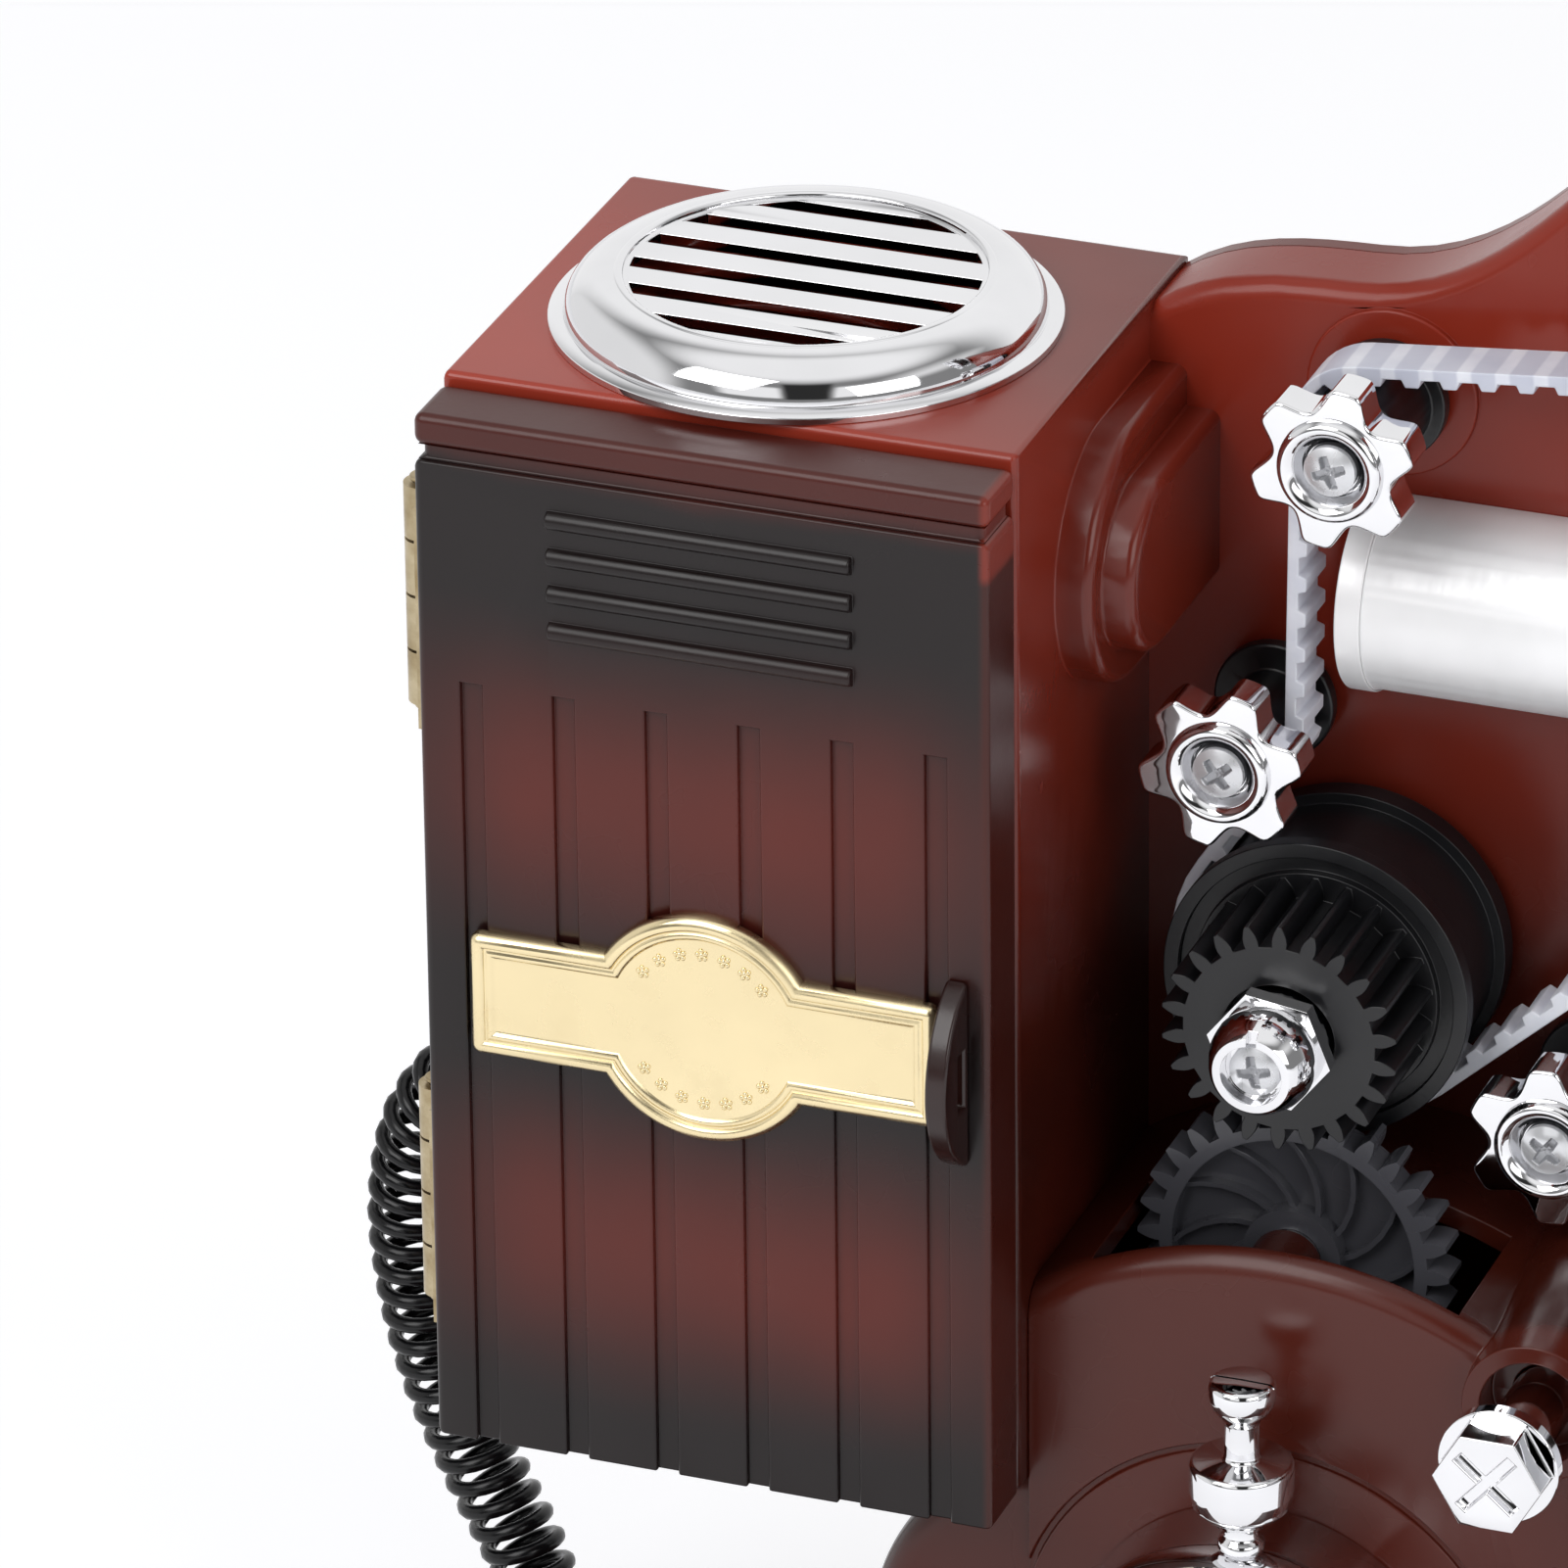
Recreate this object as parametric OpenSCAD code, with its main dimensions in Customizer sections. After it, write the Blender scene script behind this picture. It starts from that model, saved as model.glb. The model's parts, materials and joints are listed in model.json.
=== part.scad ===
// Projector shaped music box: lamp house with door, belt train, reels, hand crank and comb movement.
// Millimetres, +Z up, front of the box towards -Y, origin at the middle of the base's underside.

/* [Base] */
// Width of the base
base_w = 214; // [210:1:224]
// Depth of the base
base_d = 116; // [112:1:124]
// Height of the base without its feet
base_h = 20.6; // [18:0.2:23]
// Height of the rubber feet
foot_h = 2.5; // [2:0.1:4]

/* [Lamp house] */
// Width of the lamp house
lamp_w = 57.9; // [54:0.1:61]
// Height of the lamp house
lamp_h = 111.3; // [106:0.1:118]
// Thickness of the door
door_t = 7.6; // [6.6:0.1:8.6]
// Wall thickness of the casings
wall = 2.2; // [1.8:0.1:2.8]
// Radius of the chrome vent on the roof
vent_r = 24.8; // [20:0.1:25.2]
// Width of the upright strips in the door
strip_w = 2.2; // [1.4:0.1:3]
// Width of the bare plate on the door
plate_w = 47.9; // [40:0.1:48]
// Radius of the plate's round middle
disc_r = 12; // [10:0.1:13]
// Length of one door hinge
hinge_l = 23.4; // [18:0.2:26]

/* [Belt train] */
// Tip radius of the chrome stars
star_r = 8.3; // [7.4:0.1:8.8]
// Thickness of the chrome stars
star_t = 4.6; // [3.8:0.1:5]
// Width of the toothed belt
belt_w = 6.1; // [5.2:0.1:6.4]
// Thickness of the belt's band
belt_t = 1.15; // [0.9:0.05:1.4]
// Height of the belt's teeth
belt_tooth = 0.8; // [0.5:0.05:1]
// Width of the drive gears
gear_t = 3.9; // [3:0.1:4.4]
// Radius of the lens barrel
lens_r = 10; // [8.5:0.1:10.6]

/* [Reels] */
// Radius of the upper reel
reel_r = 30; // [25:0.5:30.5]
// Radius of the lower reel
low_reel_r = 28; // [24:0.5:30]
// Radius of the film wound on the upper reel
film_r = 21; // [12:0.5:24]
// Radius of the film wound on the lower reel
low_film_r = 14.5; // [11:0.5:22]
// Radius of the round windows in the reels
window_r = 6.6; // [4:0.1:7.4]

/* [Housing and crank] */
// Radius of the housing's arch
arch_r = 45.6; // [43:0.1:46.2]
// Length of the crank arm
crank_len = 30; // [25:0.5:31]
// Length of the crank's grip
grip_len = 21; // [16:0.5:23]
// Radius of the crank's grip
grip_r = 5.5; // [4.5:0.1:6.5]

/* [Cord] */
// Diameter of the curly cord's wire
cord_d = 1.65; // [1.3:0.05:1.7]
// Radius of the curls, to the wire's middle
curl_r = 3.65; // [3.2:0.05:3.75]
// Number of curls
curls = 32; // [26:1:32]

/* [Hidden] */
$fn = 48;
eps = 0.01;

// Heights: everything above the base hangs on the base's top face.
zb = foot_h + base_h;
// Radial clearances of a running and of a tight fit.
run = 0.05;
fit = 0.02;
// Planes along Y.
lamp_y = -9.6;
back_y = 39.5;
plate_y = 28.3;
cover_t = 1.8;
cover_y = 37.3;
gap = 0.3;

// Lamp house.
lamp_x1 = -31.8;
lamp_x0 = lamp_x1 - lamp_w;
lamp_z0 = zb + 58.5;
lamp_z1 = lamp_z0 + lamp_h;
door_y0 = lamp_y - gap - door_t;
door_z1 = lamp_z1 - 1;
vent_x = lamp_x1 - 29.7;
vent_y = 13.6;
vent_top = 4.9;
vent_in = vent_r - 6.8;
slots = 6;

// Hinge: one upright axis beside the lamp house's front edge.
hinge_x = lamp_x0 - 2.3;
hinge_r = 1.9;
hinge_pin = 0.9;
leaf_t = 0.8;
leaf_w = 7;

// Door details.
plate_x = lamp_x0 + lamp_w / 2;
plate_z = lamp_z1 - 61.2;
handle_t = 2.2;
handle_gap = 0.65;

// Shaft positions in the front view, x and z.
p1 = [-7.1, zb + 163.9];
p2 = [-18.1, zb + 130.3];
p3 = [15.4, zb + 95.4];
p4 = [30.9, zb + 167.3];
p5 = [30.9, zb + 130.7];
drum_p = [-9.3, zb + 106.8];
idler_p = [-9.3, zb + 80.8];
reel_p = [64.5, zb + 227];
low_p = [64.5, zb + 78];

// Gears of module 1 with a 20 degree pressure angle.
gear_m = 1;
press_a = 20;
lash = 0.25;
n_drum = 22;
n_idler = 30;
n_crank = 50;
n_cyl = 16;
crank_dx = 2.1;
crank_c = (n_idler + n_crank) * gear_m / 2;
crank_p = [idler_p[0] + crank_dx, idler_p[1] - sqrt(crank_c * crank_c - crank_dx * crank_dx)];
cyl_c = (n_crank + n_cyl) * gear_m / 2;
cyl_dir = -58;
cyl_p = crank_p + cyl_c * [cos(cyl_dir), sin(cyl_dir)];
gear_y = 6.3;
gear_y1 = gear_y + gear_t;
pinion_y = 1.5;

// Gear phases: a tooth of one gear meets a gap of the next along the line of centres.
function dir_of(a, b) = atan2(b[1] - a[1], b[0] - a[0]);
function mesh_phase(a, na, pa, b, nb) =
    dir_of(a, b) + 180 - (0.5 - (dir_of(a, b) - pa) * na / 360) * 360 / nb;
drum_ph = 90;
idler_ph = mesh_phase(drum_p, n_drum, drum_ph, idler_p, n_idler);
crank_ph = mesh_phase(idler_p, n_idler, idler_ph, crank_p, n_crank);
cyl_ph = mesh_phase(crank_p, n_crank, crank_ph, cyl_p, n_cyl);

// Involute outline, point by point.
function inv_deg(a) = tan(a) * 180 / PI - a;
function half_deg(n, r) =
    90 / n - lash / n / gear_m * 180 / PI + inv_deg(press_a)
    - inv_deg(acos(min(1, gear_m * n / 2 * cos(press_a) / r)));
function tip_of(n) = gear_m * (n / 2 + 0.95);
function root_of(n) = gear_m * (n / 2 - 1.25);
function flank_r(n) = max(root_of(n) + 0.1, gear_m * n / 2 * cos(press_a) + 0.01);
function flank(n, s) = [for (i = [0:3])
    let (k = s > 0 ? 3 - i : i, r = flank_r(n) + (tip_of(n) - flank_r(n)) * k / 3)
    [r, s * half_deg(n, r)]];
function tooth(n) = concat([[root_of(n), -half_deg(n, flank_r(n))]], flank(n, -1), flank(n, 1),
    [[root_of(n), half_deg(n, flank_r(n))]]);
function gear_pts(n, ph) = [for (i = [0:n - 1]) for (t = tooth(n))
    t[0] * [cos(ph + i * 360 / n + t[1]), sin(ph + i * 360 / n + t[1])]];

// Chrome star outline with six rounded points.
star_n = 6;
star_root = star_r - 2.9;
star_tip = 10;
function star_rad(a) = let (half = 180 / star_n, d = abs(a - 2 * half * round(a / 2 / half)))
    d <= star_tip ? star_r : star_root + (star_r - star_root) * pow((half - d) / (half - star_tip), 2);
function star_pts(ph) = [for (a = [0:5:355]) star_rad(a) * [cos(a + ph), sin(a + ph)]];
star_y = 9.2;
star_y1 = star_y + star_t;
axle_r = 1.5;
drum_axle = 2.5;
idler_axle = 3;
reel_axle = 2;
pin_r = 2;
axle_sink = 5.8;
groove = 3.4;
hub_in = 2.58;

// Belt loop: pulleys with the radius of the belt's smooth outer side, negative where it runs back side on.
belt_y = 17.8;
pulley_y1 = plate_y - 1.3;
belt_c = [p1, p2, drum_p, p5, p4];
in_r1 = 6.95;
drum_belt_r = 16.6;
far_r = 7.4;
belt_r = [in_r1, -(groove + gap), drum_belt_r, far_r, far_r];
belt_pitch = 3.85;
function nxt(i, n) = (i + 1) % n;
function prv(i, n) = (i + n - 1) % n;
function line_a(C, R, i) = let (d = C[nxt(i, len(C))] - C[i])
    atan2(d[1], d[0]) - asin((R[nxt(i, len(C))] - R[i]) / norm(d));
function nrm(a) = [-sin(a), cos(a)];
function turn_of(C, R, i) =
    let (d = line_a(C, R, i) - line_a(C, R, prv(i, len(C))), w = d - 360 * floor(d / 360))
    R[i] > 0 ? w : w - 360;
function arc_pt(C, R, i, f, off) = let (a = line_a(C, R, i) - (1 - f) * turn_of(C, R, i))
    C[i] - (R[i] - off) * nrm(a);
function line_pt(C, R, i, f, off) = let (a = line_a(C, R, i), j = nxt(i, len(C)))
    (1 - f) * (C[i] - (R[i] - off) * nrm(a)) + f * (C[j] - (R[j] - off) * nrm(a));
function loop_pts(C, R, off) = [for (i = [0:len(C) - 1]) let (k = ceil(abs(turn_of(C, R, i)) / 9))
    for (s = [0:k]) arc_pt(C, R, i, s / k, off)];
tooth_form = [[0.24, 0], [0.32, 1], [0.68, 1], [0.76, 0]];
function bumps(n) = [for (k = [0:n - 1]) for (b = tooth_form) [(k + b[0]) / n, b[1]]];
function arc_len(C, R, i, off) = abs(R[i] - off) * abs(turn_of(C, R, i)) * PI / 180;
function line_len(C, R, i) = norm(line_pt(C, R, i, 1, 0) - line_pt(C, R, i, 0, 0));
function teeth_in(l) = max(1, round(l / belt_pitch));
function toothed_pts(C, R, t, h) = [for (i = [0:len(C) - 1]) for (q = concat(
    [for (b = bumps(teeth_in(arc_len(C, R, i, t)))) arc_pt(C, R, i, b[0], t + h * b[1])],
    [for (b = bumps(teeth_in(line_len(C, R, i)))) line_pt(C, R, i, b[0], t + h * b[1])])) q];
belt_in = belt_t + belt_tooth;
drum_groove = drum_belt_r - belt_in - gap;
in_groove = in_r1 - belt_in - gap;
far_groove = far_r - belt_in - gap;

// Frame outline in the front view, with round ends at both reels.
function bez(a, b, c, d, n) = [for (i = [1:n]) let (t = i / n, u = 1 - t)
    u * u * u * a + 3 * u * u * t * b + 3 * u * t * t * c + t * t * t * d];
function half_round(c, r, a) = [for (i = [0:30]) c + r * [cos(a - 6 * i), sin(a - 6 * i)]];
hub_r = 11;
diag = hub_r * sin(45);
frame_x1 = 54;
frame_x2 = 40;
frame_a = [lamp_x1, zb + 169.1];
frame_b = [-12, zb + 173.9];
frame_top = concat([frame_a],
    bez(frame_a, [-26, zb + 173.4], [-19, zb + 173.7], frame_b, 8),
    bez(frame_b, [0, zb + 174.1], [7, zb + 183.2], [14, zb + 190.2], 12),
    half_round(reel_p, hub_r, 135));
frame_c = [frame_x1, zb + 117];
frame_right = concat(
    bez(reel_p + [diag, -diag], [64, zb + 211], [frame_x1 + 2, zb + 201], [frame_x1, zb + 183], 10),
    [frame_c],
    bez(frame_c, [frame_x1, zb + 102], [60, zb + 98], low_p + [diag + 0.1, diag + 0.1], 8),
    half_round(low_p, hub_r, 45),
    bez(low_p - [diag, diag], [46, zb + 59.5], [41, zb + 53], [frame_x2, zb + 39], 8));
frame_left = [[frame_x2, zb], [lamp_x1, zb]];

// Lens, half sunk against the frame plate.
lens_y = 26.2;
lens_z = zb + 143.9;
lens_x0 = -9;
lens_x1 = 17;
nose_x1 = 22.6;

// Housing with a round top, and beside it the stand with a round shoulder under the lamp house.
// The arch keeps its top just under the drum and the rollers, whatever its radius.
arch_top = zb + 87.7;
arch_p = [-6.6, arch_top - arch_r];
stand_p = [-26, zb + 36.9];
stand_r = 23.4;
stand_y = -6.4;
face_y = -7.2;
rim_r = 3;
lamp_side = lamp_x1 + fit;
function arc_pts(c, r, a, b) = [for (i = [0:24]) let (w = a + (b - a) * i / 24) c + r * [cos(w), sin(w)]];
function rim_form(r, y0, y1) = concat([[0, y1], [0, y0]],
    [for (a = [0:10:90]) [r - rim_r + rim_r * sin(a), y0 + rim_r - rim_r * cos(a)]], [[r, y1]]);
cap_r = 19.6;
cap_y = -22;
post_p = [20.3, zb + 77];
post_y = -9.6;
bolt_y = -24.1;

// Crank.
shaft_r = 3;
arm_y = -27;
arm_t = 4;
grip_y = -28.5;

// Reel stack along Y.
reel_y0 = 15.8;
reel_y1 = 27;
flange_t = 1.6;
reel_hub = 9;
sleeve_r = 4;
roll_r = 3.6;
belt2_t = 1.2;
belt2_w = 2.4;
belt2_y = plate_y + wall + 1.7;
reel_loop = [roll_r + gap + belt2_t, sleeve_r + gap + belt2_t];

// Curly cord: a hand laid route in one upright plane, from the lamp house's left wall to the base's top.
cord_y = 33;
gland_r = 1.58;
gland_flange = 3.4;
wall_exit = [lamp_x0 - 3, lamp_z0 + 17.6];
base_exit = [lamp_x0 - 8.3, zb + 3];
route = [wall_exit, [lamp_x0 - 13.4, lamp_z0 + 15], [lamp_x0 - 20.8, lamp_z0 + 7.6],
    [lamp_x0 - 23.4, lamp_z0 - 2.6], [lamp_x0 - 22.8, lamp_z0 - 13.2], [lamp_x0 - 20.2, lamp_z0 - 23.8],
    [lamp_x0 - 15.8, lamp_z0 - 34.2], [lamp_x0 - 10.9, lamp_z0 - 44.5], base_exit];
// Round spline through the route points, leaving and arriving square to the two glands.
tang = concat([[-10.5, 0]], [for (i = [1:len(route) - 2]) (route[i + 1] - route[i - 1]) / 2], [[0, -11]]);
function route_at(u) = let (i = min(floor(u), len(route) - 2), t = u - i,
    a = route[i], d = route[i + 1], m = tang[i], k = tang[i + 1])
    (2 * t * t * t - 3 * t * t + 1) * a + (t * t * t - 2 * t * t + t) * m
    + (3 * t * t - 2 * t * t * t) * d + (t * t * t - t * t) * k;
route_n = 120;
route_s = [for (i = [0:route_n]) route_at((len(route) - 1) * i / route_n)];
function steps(P) = [for (i = 0, s = 0; i < len(P);
    s = s + norm(P[min(i + 1, len(P) - 1)] - P[i]), i = i + 1) s];
cum = steps(route_s);
route_l = cum[route_n];
function seek(s, a, b) = b - a <= 1 ? a + (s - cum[a]) / max(eps, cum[b] - cum[a])
    : let (m = floor((a + b) / 2)) s < cum[m] ? seek(s, a, m) : seek(s, m, b);
function on_route(s) = route_at((len(route) - 1) * seek(max(0, min(route_l, s)), 0, route_n) / route_n);
function along(s) = let (d = on_route(min(route_l, s + 0.3)) - on_route(max(0, s - 0.3))) d / norm(d);
rings = curls * 8;
function ramp(i) = let (f = min(i, rings - i) / 12) f >= 1 ? 1 : f * f * (3 - 2 * f);
function wire(i) =
    let (s = route_l * i / rings, c = on_route(s), t = along(s), a = 45 * i, r = curl_r * ramp(i))
    [c[0] - r * cos(a) * t[1], cord_y + r * sin(a), c[1] + r * cos(a) * t[0]];
wire_in = [[lamp_x0 - 1, cord_y, wall_exit[1]], [lamp_x0 - 1 - cord_d, cord_y, wall_exit[1]]];
wire_out = [[base_exit[0], cord_y, zb + 1 + cord_d], [base_exit[0], cord_y, zb + 1]];
wire_pts = concat(wire_in, [for (i = [0:rings]) wire(i)], wire_out);
wires = len(wire_pts);
function unit(v) = v / max(eps, norm(v));
function wire_t(i) = i < 2 ? [-1, 0, 0] : i > wires - 3 ? [0, 0, -1]
    : unit(wire_pts[i + 1] - wire_pts[i - 1]);
side_n = 6;
// Each ring keeps the last ring's direction, turned square to the wire.
function carry(v, t) = unit(v - (v * t) * t);
ups = [for (i = 0, v = [0, 0, 1]; i < wires; i = i + 1, v = carry(v, wire_t(min(i, wires - 1)))) v];
function ring_at(i) = let (t = wire_t(i), v = carry(ups[i], t), w = cross(t, v))
    [for (k = [0:side_n - 1]) wire_pts[i] + cord_d / 2 * (cos(60 * k) * v + sin(60 * k) * w)];
least_gap = min([for (i = [0:wires - 1]) for (j = [i + 6:1:min(i + 20, wires - 1)])
    norm(wire_pts[i] - wire_pts[j])]) - cord_d;
cord_len = steps(wire_pts)[wires - 1];
echo(cord_curls = curls, cord_least_gap_mm = least_gap, cord_wire_length_mm = cord_len);

// Helpers: a cylinder along Y and a front view outline given depth along Y.
module ycyl(r, y0, y1, p) {
    translate([p[0], y0, p[1]]) rotate([-90, 0, 0]) cylinder(r = r, h = y1 - y0);
}
module yext(y0, y1) {
    translate([0, y1, 0]) rotate([90, 0, 0]) linear_extrude(height = y1 - y0) children();
}
module xcyl(r, x0, x1, y, z) {
    translate([x0, y, z]) rotate([0, 90, 0]) cylinder(r = r, h = x1 - x0);
}
module zcyl(r, z0, z1, x, y) {
    translate([x, y, z0]) cylinder(r = r, h = z1 - z0);
}
module box(x0, x1, y0, y1, z0, z1) {
    translate([x0, y0, z0]) cube([x1 - x0, y1 - y0, z1 - z0]);
}
module round_rect(w, d, r) {
    square([w - 2 * r, d], center = true);
    square([w, d - 2 * r], center = true);
    for (sx = [-1, 1]) {
        for (sy = [-1, 1]) {
            translate([sx * (w / 2 - r), sy * (d / 2 - r)]) circle(r = r);
        }
    }
}
module slab(w, d, r, z0, z1) {
    translate([0, 0, z0]) linear_extrude(height = z1 - z0) round_rect(w, d, r);
}
// A round body along Y, its profile given as radius and depth.
module yturn(p) {
    translate([p[0], 0, p[1]]) rotate([-90, 0, 0]) rotate_extrude() children();
}
module cross_cut(w, l, y0, y1, p, a = 0) {
    translate([p[0], 0, p[1]]) rotate([0, a, 0]) {
        box(-l / 2, l / 2, y0, y1, -w / 2, w / 2);
        box(-w / 2, w / 2, y0, y1, -l / 2, l / 2);
    }
}

// Base.
foot_x = base_w / 2 - 14;
foot_y = base_d / 2 - 14;
screw_x = base_w / 2 - 26;
screw_r = 1.2;
module at_corners(x, y) {
    for (sx = [-1, 1]) {
        for (sy = [-1, 1]) {
            translate([sx * x, sy * y, 0]) children();
        }
    }
}
module base_plinth() {
    color([0.16, 0.05, 0.04]) difference() {
        union() {
            difference() {
                union() {
                    slab(base_w, base_d, 7, foot_h, foot_h + 9);
                    slab(base_w - 4, base_d - 4, 6, foot_h + 8, foot_h + 12);
                    slab(base_w - 11, base_d - 11, 5, foot_h + 11, zb);
                }
                slab(base_w - 18, base_d - 18, 4, foot_h - 1, foot_h + 2.02);
                slab(base_w - 26, base_d - 26, 4, foot_h - 1, zb - 3);
            }
            at_corners(screw_x, foot_y) zcyl(3.4, foot_h + 2.02, zb - 2, 0, 0);
        }
        at_corners(screw_x, foot_y) zcyl(screw_r + run, foot_h, foot_h + 11, 0, 0);
        zcyl(gland_r + fit, zb - 5, zb + 1, base_exit[0], cord_y);
    }
}
module base_cover() {
    color([0.1, 0.09, 0.09]) difference() {
        slab(base_w - 18.4, base_d - 18.4, 4, foot_h, foot_h + 2);
        at_corners(screw_x, foot_y) zcyl(1.4, foot_h - 1, foot_h + 3, 0, 0);
        at_corners(screw_x, foot_y) zcyl(3, foot_h - 1, foot_h + 1, 0, 0);
    }
}
module rubber_feet() {
    color([0.06, 0.06, 0.06]) at_corners(foot_x, foot_y) {
        zcyl(5.5, 0, foot_h, 0, 0);
    }
}

// Housing that holds the crank gears and the comb movement, its front edge rounded.
module housing_body() {
    form = rim_form(arch_r, face_y, plate_y);
    difference() {
        yturn(arch_p, $fn = 96) polygon(form);
        box(arch_p[0] - arch_r - 1, arch_p[0] + arch_r + 1, face_y - 1, plate_y + 1, 0, arch_p[1]);
        box(arch_p[0] - arch_r - 1, lamp_side, face_y - 1, plate_y + 1, 0, lamp_z1);
    }
    translate([arch_p[0], 0, zb]) linear_extrude(height = arch_p[1] - zb) polygon(form);
    box(lamp_side, arch_p[0], face_y, plate_y, zb, arch_p[1]);
}
module housing_hollow() {
    in_r = arch_r - wall;
    side = acos((lamp_side + wall - arch_p[0]) / in_r);
    // The side towards the stand is open up to the lamp house.
    yext(face_y + wall, plate_y + 1) polygon(concat([[arch_p[0] + in_r, zb - 1]],
        arc_pts(arch_p, in_r, 0, side),
        [[lamp_side + wall, lamp_z0 - wall], [lamp_side - 1, lamp_z0 - wall], [lamp_side - 1, zb - 1]]));
}
module housing_shell() {
    ring_r = 25.4;
    slot_l = tip_of(n_idler) + 2 * gap;
    slot_r = 20.6;
    boss_r = 3.6;
    color([0.36, 0.1, 0.07]) difference() {
        union() {
            difference() {
                housing_body();
                housing_hollow();
            }
            translate([post_p[0], post_y, post_p[1]]) rotate([-90, 0, 0])
                cylinder(r1 = 7.2, r2 = 10.2, h = plate_y - post_y);
            ycyl(boss_r, face_y + wall / 2, gear_y - 1.2 - gap, idler_p);
        }
        difference() {
            box(idler_p[0] - slot_l, idler_p[0] + slot_r, face_y + wall, gear_y1 + 1.1, zb + 65, zb + 120);
            ycyl(boss_r, face_y, gear_y, idler_p);
        }
        ycyl(shaft_r + 0.4, face_y - 1, face_y + wall + 1, crank_p);
        yturn(crank_p) translate([ring_r, face_y - 1]) square([0.7, 1.5]);
        ycyl(5.4, post_y - 1, post_y + 4, post_p);
        ycyl(3.25, post_y - 1, post_y + 9, post_p);
    }
}
module bearing_cap() {
    edge = 6.5;
    color([0.85, 0.86, 0.88]) difference() {
        yturn(crank_p) {
            translate([0, cap_y + edge]) square([cap_r, face_y - cap_y - edge]);
            translate([0, cap_y]) square([cap_r - edge, edge + 1]);
            intersection() {
                translate([cap_r - edge, cap_y + edge]) circle(r = edge);
                translate([0, cap_y]) square([cap_r, edge]);
            }
        }
        ycyl(shaft_r + run, cap_y - 1, face_y + 1, crank_p);
    }
}
cup_y = -14.9;
cup_z = crank_p[1] + cap_r;
cup_form = [[0, -0.6], [2.3, -0.6], [2.3, 0.5], [1.7, 0.9], [1.7, 2.6], [3.4, 3.1],
    [4.8, 4.6], [4.9, 6], [5.1, 6.2], [5.1, 8.4], [4.6, 9.3], [1.75, 9.5],
    [1.75, 13.6], [2.3, 14.2], [3.2, 15.6], [3.3, 17.2], [3, 17.9], [0, 18.1]];
module oil_cup() {
    color([0.85, 0.86, 0.88]) difference() {
        translate([crank_p[0], cup_y, cup_z]) rotate_extrude() polygon(cup_form);
        ycyl(cap_r, cap_y, face_y, crank_p);
        box(crank_p[0] - 5, crank_p[0] + 5, cup_y - 0.25, cup_y + 0.25, cup_z + 17.3, cup_z + 19);
    }
}
module tie_bolt() {
    color([0.85, 0.86, 0.88]) difference() {
        union() {
            ycyl(6, bolt_y + 3.6, bolt_y + 5.2, post_p);
            translate([post_p[0], bolt_y, post_p[1]]) rotate([-90, 0, 0])
                cylinder(r = 5.45, h = 3.8, $fn = 6);
            ycyl(3.2, bolt_y + 5, post_y + 8.8, post_p);
        }
        cross_cut(1.15, 7.6, bolt_y - 1, bolt_y + 0.9, post_p, 41);
    }
}

// Frame plate with both reel arms, and its rear cover.
module frame_outline() {
    polygon(concat(frame_top, frame_right, frame_left));
}
pocket_gap = 0.6;
module belt_pocket(a, b) {
    R = [reel_loop[0] + pocket_gap, reel_loop[1] + pocket_gap];
    yext(plate_y + wall, cover_y + 1) polygon(loop_pts([a, b], R, 0));
}
cover_screws = [frame_a + [5.8, -7.1], [lamp_x1 + 5.8, lamp_z0 + 7.5], [frame_x1 - 7, zb + 150],
    [28, zb + 112], [frame_x2 - 8, zb + 8], [lamp_x1 + 8, zb + 8], [22, zb + 186]];
module frame_plate() {
    color([0.42, 0.11, 0.08]) difference() {
        union() {
            yext(plate_y, cover_y) frame_outline();
            ycyl(8.6, plate_y - 0.7, plate_y + 1, p1);
        }
        belt_pocket(p4, reel_p);
        belt_pocket(p5, low_p);
        for (p = [p1, p2, p3]) {
            ycyl(axle_r + fit, plate_y - 2, plate_y + 6, p);
        }
        for (p = [p4, p5]) {
            ycyl(roll_r + run, plate_y - 1, cover_y, p);
        }
        for (p = [reel_p, low_p]) {
            ycyl(sleeve_r + run, plate_y - 1, cover_y, p);
        }
        ycyl(drum_axle + fit, plate_y - 1, plate_y + 6, drum_p);
        ycyl(idler_axle + fit, plate_y - 1, plate_y + 6, idler_p);
        ycyl(shaft_r + run, plate_y - 1, plate_y + 6, crank_p);
        ycyl(axle_r + run, plate_y - 1, plate_y + 6, cyl_p);
        for (p = cover_screws) {
            ycyl(screw_r + run, cover_y - 6, cover_y + 1, p);
        }
    }
}
module rear_cover() {
    color([0.3, 0.08, 0.06]) difference() {
        yext(cover_y, cover_y + cover_t) frame_outline();
        for (p = [p4, p5]) {
            ycyl(axle_r + fit, cover_y - 1, cover_y + 1.4, p);
        }
        for (p = [reel_p, low_p]) {
            ycyl(reel_axle + fit, cover_y - 1, cover_y + 1.4, p);
        }
        for (p = cover_screws) {
            ycyl(1.4, cover_y - 1, cover_y + 3, p);
        }
    }
}
module case_screws() {
    y = cover_y + cover_t;
    color([0.7, 0.7, 0.72]) for (p = cover_screws) {
        difference() {
            union() {
                ycyl(2.5, y, y + 1.3, p);
                ycyl(screw_r, y - 7, y + 0.5, p);
            }
            cross_cut(0.7, 3, y + 0.7, y + 2, p);
        }
    }
    color([0.7, 0.7, 0.72]) at_corners(screw_x, foot_y) {
        zcyl(2.5, foot_h, foot_h + 0.95, 0, 0);
        zcyl(screw_r, foot_h + 0.5, foot_h + 9, 0, 0);
    }
}

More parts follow.
